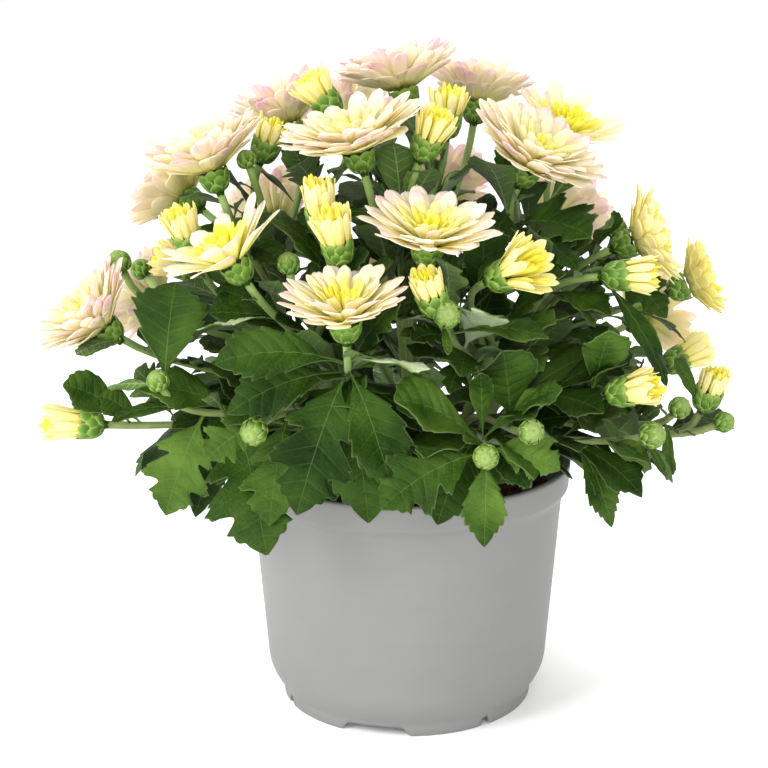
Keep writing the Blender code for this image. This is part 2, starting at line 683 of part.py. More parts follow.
def soil_object():
    def inner_radius(height):
        """Radius of the pot's inside at a height."""
        wall = POT_PROFILE[-4:-1]
        for (r1, z1), (r0, z0) in zip(wall, wall[1:]):
            if z0 <= height <= z1:
                return r0 + (r1 - r0) * (height - z0) / (z1 - z0)
        return wall[-1][0]

    heights = (FLOOR_TOP + GAP, SOIL_LOW)
    profile = [(0.0, heights[0])]
    profile += [(inner_radius(z) - GAP - 0.15, z) for z in heights]
    profile += [(inner_radius(SOIL_TOP) - GAP - 0.6, SOIL_TOP - 0.5), (38.0, SOIL_TOP), (16.0, SOIL_TOP), (0.0, SOIL_TOP)]
    soil = make_object("soil", [turned_profile(profile, SOIL_SIDES, soil_unevenness)], "soil")
    holes = []
    for (x, y), _ in STEMS.values():
        bottom = Vector((x, y, SOIL_TOP - HOLE_DEPTH))
        radius = STEM_RADIUS[0] + GAP + 0.35
        holes.append(tube([bottom, Vector((x, y, SOIL_TOP + 6))], (radius, radius), 8))
    boolean(soil, [make_object("hole", [hole], "soil") for hole in holes], "DIFFERENCE")
    return soil


def build_plant():
    plant = Plant()
    plant.add("pot", turned_profile(POT_PROFILE, POT_SIDES))
    lines = {name: [] for name in STEMS}
    for name in STEMS:
        points = [stem_line(name, t) for t in (0.0, 0.3, 0.65, 1.0)]
        foot = points[0] - Vector((0, 0, COLLAR + HOLE_DEPTH - GAP))
        radii = [STEM_RADIUS[0]] + [STEM_RADIUS[0] + (STEM_RADIUS[1] - STEM_RADIUS[0]) * k / 3 for k in range(4)]
        plant.add("leafy_stem_" + name, tube([foot] + points, radii, STEM_SIDES))
        lines[name].append(points)
    branches = []
    starts = branch_starts()
    for head, name, seat, axis, *_ in OPEN_HEADS + OPENING_HEADS:
        line = branch_line(name, seat, axis, CALYX_STEPS[0][0], starts)
        direction = Vector(axis).normalized()
        points = line + [Vector(seat) - direction * CALYX_STEPS[1][0]]
        radii = [PEDICEL_RADIUS] * (len(line) - 1) + [CALYX_STEPS[0][1], CALYX_STEPS[1][1]]
        plant.add("leafy_stem_" + name, tube(points, radii, CALYX_SIDES, rim=CALYX_RIM))
        lines[name].append(line)
        branches.append((name, line))
    for name, middle, axis, radius in BUDS:
        line = branch_line(name, middle, axis, radius, starts)
        direction = Vector(axis).normalized()
        foot = Vector(middle) - direction * radius
        points = line + [foot + direction * radius * d for d, _ in BUD_SHAPE]
        radii = [PEDICEL_RADIUS - 0.3] * len(line) + [radius * r for _, r in BUD_SHAPE]
        plant.add("leafy_stem_" + name, tube(points, radii, BUD_SIDES))
        lines[name].append(line)
    for head, name, seat, axis, radius in OPEN_HEADS:
        plant.add(head, placed(bloom(radius), seat, axis))
    for head, name, seat, axis, length, spread in OPENING_HEADS:
        plant.add(head, placed(opening_bloom(length, spread), seat, axis))
    for name, root, tip, facing, cut, width in FRONT_LEAVES:
        at = nearest_on_lines(lines[name], Vector(root))
        if not add_leaf(plant, "leafy_stem_" + name, at, tip, facing, cut, width):
            print("no room for the leaf at", root)
    for name, bearings in SKIRT:
        for bearing in bearings:
            tip = round_from_front(bearing, *SKIRT_TIP)
            at = nearest_on_lines(lines[name], round_from_front(bearing, *SKIRT_ROOT))
            if not add_leaf(plant, "leafy_stem_" + name, at, tip, round_from_front(bearing, 1, 0.35), "skirt", 0.62):
                print("no room for the skirt leaf at", bearing)
    draw = random.Random(SEED)
    for number, name in enumerate(STEMS):
        for order, share in enumerate(MAIN_LEAF_AT):
            add_main_leaf(plant, name, share, number + order)
    for number, (name, line) in enumerate(branches):
        for order, share in enumerate(TOP_BRANCH_LEAF_AT if line[-1].z > TOP_HEAD else BRANCH_LEAF_AT):
            add_branch_leaf(plant, name, line, share, number * 2 + order, draw)
    return plant


def add_main_leaf(plant, name, share, number):
    """A larger leaf on a main stem, inside the dome."""
    at = stem_line(name, share)
    way = Matrix.Rotation(math.radians(TURN * number), 3, "Z") @ Vector((0, -1, 0.35)).normalized()
    if name != "centre":
        way = (way + Vector((at.x, at.y, 0)).normalized() * 0.9).normalized()
    facing = (way + Vector((0, 0, 1.2))).normalized()
    add_leaf(plant, "leafy_stem_" + name, at, at + way * MAIN_LEAF_LENGTH, facing, "whole", 0.52, small=True)


def add_branch_leaf(plant, name, line, share, number, draw):
    """A small leaf that grows from a branch, up and out and round by the leaf turn."""
    place = share * (len(line) - 1)
    k = min(int(place), len(line) - 2)
    at = line[k].lerp(line[k + 1], place - k)
    along = (line[k + 1] - line[k]).normalized()
    outward = Vector((at.x, at.y, 0.4 * (at.z - 120))).normalized()
    side = Matrix.Rotation(math.radians(TURN * number + draw.uniform(-15, 15)), 3, along) @ along.orthogonal().normalized()
    lift = max(0.0, min(1.0, (at.z - 110) / 110))
    length = LEAF_LENGTH[1] + (LEAF_LENGTH[0] - LEAF_LENGTH[1]) * lift
    length *= draw.uniform(0.85, 1.15)
    way = (side * 0.9 + along * 0.45 + outward * 0.5).normalized()
    cut = "lobed" if lift < 0.75 else "whole"
    facing = (outward + Vector((0, 0, 0.8))).normalized()
    add_leaf(plant, "leafy_stem_" + name, at, at + way * length, facing, cut, 0.5, small=True)


def main():
    for old in list(bpy.data.objects):
        bpy.data.objects.remove(old)
    pot_object()
    soil_object()
    plant = build_plant()
    for node, solids in plant.solids.items():
        if node != "pot":
            make_object(node, solids, "leaf" if node.startswith("leafy") else "petal")


main()
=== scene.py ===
import math
import random

import bmesh
import bpy
from mathutils import Matrix, Vector, noise
from mathutils.bvhtree import BVHTree


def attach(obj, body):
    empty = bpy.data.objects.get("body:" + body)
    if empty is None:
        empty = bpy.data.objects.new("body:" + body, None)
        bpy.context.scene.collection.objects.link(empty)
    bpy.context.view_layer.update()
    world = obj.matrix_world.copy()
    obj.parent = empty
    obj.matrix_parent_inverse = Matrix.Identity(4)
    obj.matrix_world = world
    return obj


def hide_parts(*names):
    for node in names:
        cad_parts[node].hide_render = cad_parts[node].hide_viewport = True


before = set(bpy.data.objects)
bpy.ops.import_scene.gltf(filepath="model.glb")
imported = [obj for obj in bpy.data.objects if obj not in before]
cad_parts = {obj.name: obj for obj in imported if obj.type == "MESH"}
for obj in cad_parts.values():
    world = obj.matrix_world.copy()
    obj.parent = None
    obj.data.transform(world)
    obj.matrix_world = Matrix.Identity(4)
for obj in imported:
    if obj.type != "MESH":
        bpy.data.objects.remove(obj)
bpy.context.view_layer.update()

# A potted chrysanthemum, dressed over its CAD solids. Sizes are in mm until a piece is finished.
mm = 0.001
up = Vector((0, 0, 1))
goldenDegrees = 137.5  # from one leaf to the next, as plants grow them
goldenTurn = math.radians(goldenDegrees)

print("layout")

# main stems: foot in the soil, and top
stems = {
    "centre": ((0, 4), (0, 2, 188)),
    "front_left": ((-17, -21), (-34, -52, 158)),
    "front_right": ((17, -21), (32, -52, 158)),
    "right": ((27, 8), (60, 6, 165)),
    "back": ((0, 29), (2, 58, 172)),
    "left": ((-27, 8), (-60, 6, 168)),
}
# heads: node, stem, middle of the calyx, the way the flower faces, radius
openHeads = (
    ("bloom_top_front", "centre", (-17, -49, 225), (-0.25, -0.13, 0.96), 26),
    ("bloom_middle", "front_right", (7, -74, 196), (0.1, -0.33, 0.94), 24),
    ("bloom_front", "front_left", (-21, -92, 173), (-0.04, -0.34, 0.94), 22),
    ("bloom_front_left", "front_left", (-60, -66, 188), (-0.5, -0.12, 0.84), 24),
    ("bloom_upper_left", "left", (-71, -30, 215), (-0.33, 0.02, 0.94), 25),
    ("bloom_far_left", "left", (-112, -34, 158), (-0.66, -0.45, 0.6), 24),
    ("bloom_crown", "centre", (-1, 8, 241), (-0.24, 0.18, 0.95), 26),
    ("bloom_crown_left", "left", (-46, 20, 226), (-0.34, 0.14, 0.93), 22),
    ("bloom_crown_right", "centre", (28, 50, 231), (0.14, 0.3, 0.94), 23),
    ("bloom_upper_right", "right", (44, -24, 216), (0.42, -0.25, 0.88), 27),
    ("bloom_right_shoulder", "right", (61, 32, 219), (0.3, -0.3, 0.9), 24),
    ("bloom_right", "right", (84, -14, 187), (0.86, -0.1, 0.36), 20),
    ("bloom_far_right", "right", (110, 16, 164), (0.88, -0.1, 0.4), 17),
    ("bloom_left_shoulder", "left", (-86, 20, 198), (-0.78, 0.3, 0.55), 22),
    ("bloom_back_crown", "back", (-26, 62, 219), (-0.3, 0.6, 0.75), 23),
    ("bloom_back", "back", (14, 90, 188), (0.1, 0.8, 0.6), 25),
    ("bloom_back_left", "back", (-56, 80, 178), (-0.5, 0.75, 0.5), 23),
    ("bloom_back_right", "back", (62, 76, 180), (0.55, 0.7, 0.5), 23),
    ("bloom_low_back", "back", (-14, 97, 141), (-0.1, 0.95, 0.4), 22),
    ("bloom_low_left", "left", (-102, 48, 150), (-0.85, 0.4, 0.35), 22),
    ("bloom_low_right", "right", (98, 62, 140), (0.8, 0.55, 0.3), 22),
)
# the way that a finer flower faces where it nods a little less than its solid
headTilts = {
    "bloom_far_left": (-0.66, -0.24, 0.72),
    "bloom_front": (-0.04, -0.2, 0.97),
    "bloom_middle": (0.1, -0.24, 0.96),
}
# half-open heads: node, stem, middle of the calyx, way, length, spread of the tips
openingHeads = (
    ("opening_top", "centre", (-30, -62, 205), (-0.12, -0.2, 1.0), 15, 6),
    ("opening_upper", "front_left", (-24, -72, 196), (-0.2, -0.3, 0.93), 16, 8),
    ("opening_high", "centre", (7, -42, 228), (0.36, -0.2, 0.9), 14, 8),
    ("opening_middle", "front_right", (33, -76, 187), (0.72, -0.45, 0.4), 17, 12),
    ("opening_pair", "front_right", (9, -84, 180), (-0.3, -0.35, 0.88), 13, 6),
    ("opening_far_left", "front_left", (-118, -50, 126), (-0.95, -0.25, 0.12), 17, 7),
    ("opening_low_right", "front_right", (78, -60, 141), (0.82, -0.42, 0.3), 15, 7),
    ("opening_far_right", "right", (117, -12, 126), (0.28, -0.2, 0.93), 13, 6),
    ("opening_right", "right", (77, -46, 181), (0.93, -0.25, 0.1), 15, 7),
    ("opening_left", "left", (-80, -40, 193), (-0.25, -0.3, 0.9), 14, 7),
    ("opening_crown", "left", (-30, -12, 240), (-0.6, -0.05, 0.75), 13, 9),
    ("opening_shoulder", "left", (-54, -2, 222), (0.35, -0.15, 0.9), 12, 7),
    ("opening_top_right", "centre", (15, -6, 232), (0.05, -0.1, 1.0), 14, 8),
    ("opening_left_edge", "left", (-85, -8, 177), (-0.9, -0.1, 0.4), 14, 8),
    ("opening_back", "back", (34, 98, 150), (0.35, 0.85, 0.45), 16, 8),
    ("opening_back_left", "back", (-72, 84, 136), (-0.55, 0.8, 0.3), 16, 8),
    ("opening_back_right", "right", (112, 38, 128), (0.85, 0.3, 0.4), 16, 8),
)
# green buds: stem, middle, way, radius
buds = (
    ("front_left", (-54, -86, 133), (-0.2, -0.7, -0.1), 5.0),
    ("front_left", (-90, -64, 147), (-0.3, -0.3, 0.85), 4.2),
    ("left", (-111, -9, 180), (-0.3, -0.1, 0.9), 4.8),
    ("front_left", (-42, -64, 190), (-0.1, -0.2, 0.95), 4.2),
    ("front_right", (27, -102, 129), (-0.05, -0.8, 0.1), 4.6),
    ("front_right", (43, -98, 137), (0.15, -0.8, 0.3), 4.6),
    ("right", (80, -8, 193), (0.1, -0.2, 0.95), 4.4),
    ("front_right", (90, -64, 126), (0.5, -0.5, 0.3), 5.0),
    ("right", (104, -32, 128), (0.4, -0.4, 0.7), 4.4),
    ("right", (124, -18, 118), (0.7, -0.2, 0.4), 4.2),
    ("left", (-60, -22, 221), (-0.3, -0.1, 0.9), 3.8),
    ("front_right", (14, -88, 176), (0.1, -0.8, 0.2), 5.0),
    ("back", (12, 104, 166), (0.1, 0.7, 0.6), 4.6),
    ("left", (-108, 26, 170), (-0.6, 0.3, 0.7), 4.4),
)
# leaves listed one by one: stem, root, tip, upper side's way, cut, width over length, share of the solid's
# length, and tone from dark to bright
frontLeaves = (
    ("front_left", (-81, -52, 124), (-92, -66, 87), (-0.2, -1.0, 0.3), "lobed", 0.72, 1.0, 0.8),
    ("front_left", (-58, -62, 123), (-50, -88, 89), (0.0, -1.0, 0.3), "lobed", 0.66, 1.0, 0.25),
    ("front_left", (-20, -84, 149), (-42, -104, 97), (0.0, -1.0, 0.2), "lobed", 0.62, 1.0, 0.1),
    ("front_left", (-18, -86, 150), (-5, -104, 117), (0.2, -1.0, 0.3), "toothed", 0.46, 1.0, 0.1),
    ("front_left", (-18, -88, 155), (14, -100, 158), (0.0, -0.1, -1.0), "whole", 0.4, 1.0, 1.0),
    ("front_right", (28, -82, 133), (-4, -104, 150), (-0.2, -0.7, 0.8), "whole", 0.52, 1.0, 0.75),
    ("front_right", (28, -92, 133), (-9, -112, 114), (-0.3, -1.0, 0.5), "lobed", 0.58, 1.0, 0.25),
    ("front_right", (28, -97, 131), (26, -118, 95), (0.1, -1.0, 0.3), "toothed", 0.5, 1.0, 0.75),
    ("front_right", (28, -87, 133), (58, -104, 124), (0.3, -1.0, 0.5), "lobed", 0.6, 1.0, 0.8),
    ("front_right", (29, -72, 133), (64, -94, 142), (0.0, -0.6, 1.0), "whole", 0.36, 1.0, 0.85),
    ("front_right", (28, -77, 133), (25, -98, 158), (0.0, -0.9, -0.4), "whole", 0.26, 1.0, 0.6),
    ("front_right", (66, -42, 122), (78, -50, 84), (0.6, -0.8, 0.1), "toothed", 0.34, 1.0, 0.6),
    ("left", (-89, -34, 143), (-84, -40, 180), (-0.2, -1.0, 0.2), "lobed", 0.72, 1.0, 0.3),
    ("front_left", (-24, -80, 161), (-66, -92, 160), (0.0, -0.9, 0.7), "toothed", 0.42, 1.0, 0.1),
    ("front_left", (-14, -62, 138), (-12, -82, 88), (0.1, -1.0, 0.3), "toothed", 0.56, 0.84, 0.2),
    ("front_right", (18, -62, 134), (8, -84, 92), (-0.1, -1.0, 0.3), "toothed", 0.56, 0.84, 0.1),
    ("front_left", (-44, -60, 132), (-68, -74, 96), (-0.3, -1.0, 0.3), "lobed", 0.6, 0.92, 0.5),
    ("front_left", (-24, -80, 150), (-62, -92, 142), (0.0, -1.0, 0.5), "toothed", 0.44, 1.0, 0.05),
    ("front_left", (-40, -66, 166), (-74, -72, 166), (0.0, -0.3, -1.0), "toothed", 0.3, 1.0, 0.8),
    ("front_right", (46, -70, 141), (52, -84, 166), (0.1, -1.0, 0.1), "whole", 0.6, 1.0, 0.2),
    ("front_right", (66, -58, 136), (72, -70, 166), (0.2, -1.0, 0.2), "whole", 0.56, 1.0, 0.7),
    ("front_right", (22, -76, 170), (57, -84, 166), (0.1, -0.5, 0.9), "whole", 0.3, 1.0, 0.5),
    ("right", (36, -26, 184), (66, -50, 196), (0.2, -0.9, 0.5), "lobed", 0.6, 1.0, 0.05),
    ("front_left", (-96, -54, 127), (-120, -66, 142), (-0.2, -0.9, 0.5), "whole", 0.5, 1.0, 0.6),
    ("front_left", (-84, -50, 134), (-108, -50, 138), (0.0, -0.5, 0.9), "whole", 0.28, 1.0, 0.2),
    ("front_right", (86, -60, 124), (98, -66, 104), (0.3, -0.9, 0.3), "whole", 0.26, 1.0, 0.2),
    ("right", (108, -20, 119), (132, -24, 114), (0.1, -0.4, 1.0), "whole", 0.26, 0.75, 0.3),
)
leafRules = {
    # turns in degrees and sizes that the source tries in this order, until a leaf is clear of other solids
    "tries": [
        (turn, size)
        for size in (1.0, 0.82, 0.66)
        for turn in (0, 28, -28, 56, -56, 84, -84, 112, -112)
    ],
    "turnLean": 0.6,  # how far the axis of such a turn stands up
    "miss": 1.4,  # mm off the solid's surface, over which a try isn't the one that the source took
    "skirt": (("right", (95, 122, 149)), ("back", (166, 190, 214)), ("left", (-146, -120, -95))),
    "skirtTip": (112.0, 88.0),  # radius and height
    "skirtRoot": (52.0, 128.0),
    "skirtLift": 0.35,
    "skirtWidth": 0.62,
    "mainShares": (0.14, 0.5),
    "mainLength": 44.0,
    "mainWay": (0, -1, 0.35),
    "mainSpread": (1.0, 0.9),  # weights of that way and of outwards
    "mainFacing": (1.0, 1.2),  # weights of the leaf's way and of up
    "mainWidth": 0.52,
    "branchShares": (0.42, 0.74),
    "topBranchShares": (0.6,),
    "topHead": 178.0,  # height over which a branch has one leaf
    "branchWay": (0.9, 0.45, 0.5),  # weights of sideways, along the branch and outwards
    "branchFacing": (1.0, 0.8),  # weights of outwards and up
    "branchWidth": 0.5,
    "turnSpread": 15,  # degrees
    "domeMiddle": 120,
    "domeFlatness": 0.4,
    "domeFoot": 110,
    "domeHeight": 110,
    "length": (24.0, 40.0),  # at the top of the dome and at its foot
    "lengthSpread": (0.85, 1.15),
    "lobedShare": 0.75,  # of the dome's height
    "seed": 11,
}
stemDesign = {
    "soilTop": 83.0,
    "collar": 5.0,
    "holeDepth": 23.7,
    "radius": (2.6, 1.7),  # a main stem's, at its foot and its top
    "pedicel": 1.3,
    "neck": 18.0,  # how far a main stem rises straight
    "sway": 0.45,  # where it turns towards its top
    "mainPlaces": (0.0, 0.3, 0.65, 1.0),  # the source's points on a main stem
    "firstBranch": 0.25,
    "lastBranch": 0.98,
    "rise": 0.6,  # how much of a branch's first way is upwards
    "bow": 0.35,  # how far the handles of its curve reach
    "shortBranch": 45.0,
    "shortPlaces": (0.0, 0.55, 1.0),
    "longPlaces": (0.0, 0.36, 0.7, 1.0),
    "calyxFoot": 7.0,
    "fineSteps": 14,
}


def bezier(a, b, c, d, t):
    s = 1 - t
    return a * s**3 + b * 3 * s * s * t + c * 3 * s * t * t + d * t**3


def fromFront(degrees, radius, height):
    turn = math.radians(degrees)
    return Vector((radius * math.sin(turn), -radius * math.cos(turn), height))


def stemLine(name, t):
    (x, y), top = stems[name]
    collar = Vector((x, y, stemDesign["soilTop"] + stemDesign["collar"]))
    neck = collar + up * stemDesign["neck"]
    return bezier(collar, neck, neck.lerp(Vector(top), stemDesign["sway"]), Vector(top), t)


def branchStarts():
    # where on its main stem each head's branch starts: the higher the head, the higher the start
    starts = {}
    first, last = stemDesign["firstBranch"], stemDesign["lastBranch"]
    for name in stems:
        seats = [head[2] for head in openHeads + openingHeads if head[1] == name]
        seats += [bud[1] for bud in buds if bud[0] == name]
        seats.sort(key=lambda seat: seat[2])
        for order, seat in enumerate(seats):
            starts[seat] = first + (last - first) * order / (len(seats) - 1)
    return starts


starts = branchStarts()


def branchLine(name, seat, axis, behind, shares=None):
    # from the main stem to just behind the head, through the source's few points or the shares asked for
    start = stemLine(name, starts[seat])
    seat, axis = Vector(seat), Vector(axis).normalized()
    end = seat - axis * behind
    reach = (end - start).length
    rise = up * stemDesign["rise"] + (end - start).normalized() * (1 - stemDesign["rise"])
    shares = shares or stemDesign["longPlaces" if reach > stemDesign["shortBranch"] else "shortPlaces"]
    bow = stemDesign["bow"]
    return [bezier(start, start + rise * reach * bow, end - axis * reach * bow, end, t) for t in shares]


# the same stems twice: as the source's straight runs, and as smooth curves
fineShares = [k / stemDesign["fineSteps"] for k in range(stemDesign["fineSteps"] + 1)]
lines = {name: [[stemLine(name, t) for t in stemDesign["mainPlaces"]]] for name in stems}
curves = {name: [[stemLine(name, t) for t in fineShares]] for name in stems}
headBranches = []
for head, name, seat, axis, *_ in openHeads + openingHeads:
    line = branchLine(name, seat, axis, stemDesign["calyxFoot"])
    lines[name].append(line)
    curves[name].append(branchLine(name, seat, axis, stemDesign["calyxFoot"], fineShares))
    headBranches.append((name, line))
for name, middle, axis, radius in buds:
    lines[name].append(branchLine(name, middle, axis, radius))
    curves[name].append(branchLine(name, middle, axis, radius, fineShares))


def nearest(paths, point):
    # the place on the paths that is nearest to a point
    best = None
    for path in paths:
        for a, b in zip(path, path[1:]):
            span = b - a
            share = max(0.0, min(1.0, (point - a).dot(span) / span.length_squared))
            at = a + span * share
            if best is None or (at - point).length < best[0]:
                best = ((at - point).length, at)
    return best[1]


def level(place):
    # the way outwards from the pot's axis
    return Vector((place.x, place.y, 0)).normalized()


def blend(weights, ways):
    # the way between several, by weight
    return sum((way * weight for weight, way in zip(weights, ways)), Vector()).normalized()


# the CAD solids, to find which of a leaf's tries the source took, and to keep other leaves clear of them;
# and the pot's front half, which no added leaf may cover
cadTrees = {}
for cadName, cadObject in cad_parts.items():
    points = [cadObject.matrix_world @ v.co / mm for v in cadObject.data.vertices]
    polygons = [tuple(p.vertices) for p in cadObject.data.polygons]
    low = [min(p[i] for p in points) for i in range(3)]
    high = [max(p[i] for p in points) for i in range(3)]
    cadTrees[cadName] = (BVHTree.FromPolygons(points, polygons), low, high)
    if cadName == "pot":
        potFront = BVHTree.FromPolygons(points, [p for p in polygons if sum(points[i].y for i in p) < 0])

# half outlines: (share along the rib, share of the half width), on rows that run forward like the side veins
outlines = {
    "lobed": (
        (0, 0.05), (0.12, 0.05), (0.17, 0.09), (0.21, 0.3), (0.25, 0.56), (0.265, 0.5), (0.31, 0.74),
        (0.345, 0.86), (0.36, 0.76), (0.395, 0.74), (0.41, 0.62), (0.44, 0.44), (0.465, 0.42),
        (0.505, 0.66), (0.545, 0.88), (0.56, 0.82), (0.595, 0.98), (0.61, 0.9), (0.65, 0.84), (0.665, 0.7),
        (0.7, 0.5), (0.725, 0.45), (0.76, 0.54), (0.795, 0.66), (0.81, 0.54), (0.85, 0.5), (0.88, 0.44),
        (0.893, 0.34), (0.93, 0.27), (0.965, 0.16), (1, 0.02),
    ),
    "toothed": (
        (0, 0.05), (0.12, 0.06), (0.18, 0.18), (0.26, 0.5), (0.32, 0.72), (0.335, 0.64), (0.4, 0.82),
        (0.45, 0.95), (0.465, 0.84), (0.53, 0.94), (0.585, 1.02), (0.6, 0.88), (0.66, 0.88), (0.71, 0.84),
        (0.725, 0.7), (0.78, 0.66), (0.82, 0.6), (0.835, 0.47), (0.88, 0.4), (0.93, 0.28), (0.97, 0.15),
        (1, 0.02),
    ),
    "whole": (
        (0, 0.06), (0.12, 0.08), (0.2, 0.24), (0.3, 0.56), (0.4, 0.8), (0.49, 0.92), (0.505, 0.87),
        (0.58, 0.95), (0.65, 0.97), (0.665, 0.9), (0.73, 0.86), (0.78, 0.79), (0.795, 0.7), (0.85, 0.62),
        (0.885, 0.55), (0.9, 0.42), (0.94, 0.3), (0.975, 0.17), (1, 0.02),
    ),
}
# the shares along the rib at which side veins leave it
sideVeins = {
    "lobed": (0.2, 0.31, 0.46, 0.6, 0.71, 0.81, 0.9),
    "toothed": (0.2, 0.33, 0.46, 0.59, 0.71, 0.82, 0.92),
    "whole": (0.2, 0.32, 0.44, 0.56, 0.68, 0.8, 0.91),
}
blade = {
    "arch": 0.16,  # how far the rib's handle stands over the chord, over the chord's length
    "fold": 0.22,  # how far the half blades rise from the rib, over their width
    # (share along the rib, share of the half width) of points that show where a leaf lies
    "probes": ((0.35, 0.0), (0.5, 0.3), (0.5, -0.3), (0.66, 0.0), (0.74, 0.35), (0.74, -0.35), (0.95, 0.0)),
    "sheetRows": (0.3, 0.5, 0.75, 1.0),
    "sheetWidths": (0.9, 0.1),  # before the tip and at it
    "sheetFold": 0.2,
}


def smoothShare(table, x):
    # a smooth curve through the table's points
    for k in range(1, len(table)):
        if x <= table[k][0] or k == len(table) - 1:
            break
    (x0, y0), (x1, y1) = table[k - 1], table[k]
    before, after = table[max(k - 2, 0)], table[min(k + 1, len(table) - 1)]
    span = x1 - x0
    slope0, slope1 = (y1 - before[1]) / (x1 - before[0]) * span, (after[1] - y0) / (after[0] - x0) * span
    t = min(1.0, (x - x0) / span)
    return max(0.02, y0 * (1 + 2 * t) * (1 - t) ** 2 + slope0 * t * (1 - t) ** 2
               + y1 * t * t * (3 - 2 * t) - slope1 * t * t * (1 - t))


def veinCount(cut, t):
    # whole numbers where a side vein leaves the rib
    places = sideVeins[cut]
    for k, (a, b) in enumerate(zip(places, places[1:])):
        if t <= b or k == len(places) - 2:
            return k + (t - a) / (b - a)


def leafShape(root, tip, facing, width):
    # a curved rib from root to tip, and the blade's frame along it
    root, tip, facing = Vector(root), Vector(tip), Vector(facing).normalized()
    bend = root.lerp(tip, 0.5) + up * blade["arch"] * (tip - root).length
    length = (bend - root).length + (tip - bend).length

    def at(t):
        along = ((bend - root) * 2 * (1 - t) + (tip - bend) * 2 * t).normalized()
        normal = (facing - along * facing.dot(along)).normalized()
        return root * (1 - t) ** 2 + bend * 2 * t * (1 - t) + tip * t * t, along.cross(normal), normal

    return at, length, width * length / 2


def leafCorners(root, tip, facing, width):
    # a few points on the blade of the source's leaf
    at, _, half = leafShape(root, tip, facing, width)
    found = []
    for t, share in blade["probes"]:
        middle, across, normal = at(t)
        found.append(middle + across * share * half + normal * blade["fold"] * abs(share) * half)
    return found


def takenTip(node, root, tip, facing, width):
    # the try that the source took is the one whose points lie on the node's surface
    tree = cadTrees[node][0]
    best = None
    for turn, size in leafRules["tries"]:
        spin = Matrix.Rotation(math.radians(turn), 3, level(root) + up * leafRules["turnLean"])
        end = root + spin @ (tip - root) * size
        misses = [tree.find_nearest(p)[3] for p in leafCorners(root, end, facing, width)]
        miss = sorted(misses)[-2]
        if best is None or miss < best[0]:
            best = (miss, end)
    return best[1] if best[0] < leafRules["miss"] else None


leaves = {name: [] for name in stems}  # root, tip, facing, cut, width, small, and tone where it's chosen


def keepLeaf(name, root, tip, facing, cut, width, small=False, trim=1.0, tone=None):
    # a leaf of the source's, where the source has put it
    end = takenTip("leafy_stem_" + name, root, tip, facing, width)
    if end is None:
        return False
    root = nearest(curves[name], root)
    leaves[name].append((root, root.lerp(end, trim), facing, cut, width, small, tone))
    return True


dropped = 0
for name, root, tip, facing, cut, width, trim, tone in frontLeaves:
    root = nearest(lines[name], Vector(root))
    dropped += not keepLeaf(name, root, Vector(tip), Vector(facing), cut, width, trim=trim, tone=tone)
for name, bearings in leafRules["skirt"]:
    for bearing in bearings:
        root = nearest(lines[name], fromFront(bearing, *leafRules["skirtRoot"]))
        tip = fromFront(bearing, *leafRules["skirtTip"])
        facing = fromFront(bearing, 1, leafRules["skirtLift"])
        dropped += not keepLeaf(name, root, tip, facing, "lobed", leafRules["skirtWidth"])
for number, name in enumerate(stems):
    for order, share in enumerate(leafRules["mainShares"]):
        at = stemLine(name, share)
        spin = Matrix.Rotation(goldenTurn * (number + order), 3, "Z")
        way = spin @ Vector(leafRules["mainWay"]).normalized()
        if name != "centre":
            way = blend(leafRules["mainSpread"], (way, level(at)))
        facing = blend(leafRules["mainFacing"], (way, up))
        tip = at + way * leafRules["mainLength"]
        dropped += not keepLeaf(name, at, tip, facing, "whole", leafRules["mainWidth"], True)
draw = random.Random(leafRules["seed"])
shortest, longest = leafRules["length"]
for number, (name, line) in enumerate(headBranches):
    high = line[-1].z > leafRules["topHead"]
    for order, share in enumerate(leafRules["topBranchShares" if high else "branchShares"]):
        place = share * (len(line) - 1)
        k = min(int(place), len(line) - 2)
        at = line[k].lerp(line[k + 1], place - k)
        along = (line[k + 1] - line[k]).normalized()
        height = leafRules["domeFlatness"] * (at.z - leafRules["domeMiddle"])
        outward = Vector((at.x, at.y, height)).normalized()
        off = draw.uniform(-leafRules["turnSpread"], leafRules["turnSpread"])
        turn = math.radians(goldenDegrees * (number * 2 + order) + off)
        side = Matrix.Rotation(turn, 3, along) @ along.orthogonal().normalized()
        lift = max(0.0, min(1.0, (at.z - leafRules["domeFoot"]) / leafRules["domeHeight"]))
        length = (longest + (shortest - longest) * lift) * draw.uniform(*leafRules["lengthSpread"])
        tip = at + blend(leafRules["branchWay"], (side, along, outward)) * length
        facing = blend(leafRules["branchFacing"], (outward, up))
        cut = "lobed" if lift < leafRules["lobedShare"] else "whole"
        dropped += not keepLeaf(name, at, tip, facing, cut, leafRules["branchWidth"], True)
print("leaves from the source", sum(len(found) for found in leaves.values()), "left out", dropped)


def overlapped(points, faces, but=()):
    # whether a leaf cuts into a solid
    tree = BVHTree.FromPolygons(points, faces)
    low = [min(p[i] for p in points) for i in range(3)]
    high = [max(p[i] for p in points) for i in range(3)]
    for node, (other, otherLow, otherHigh) in cadTrees.items():
        if node in but:
            continue
        if all(low[i] <= otherHigh[i] and otherLow[i] <= high[i] for i in range(3)) and tree.overlap(other):
            return True
    return False


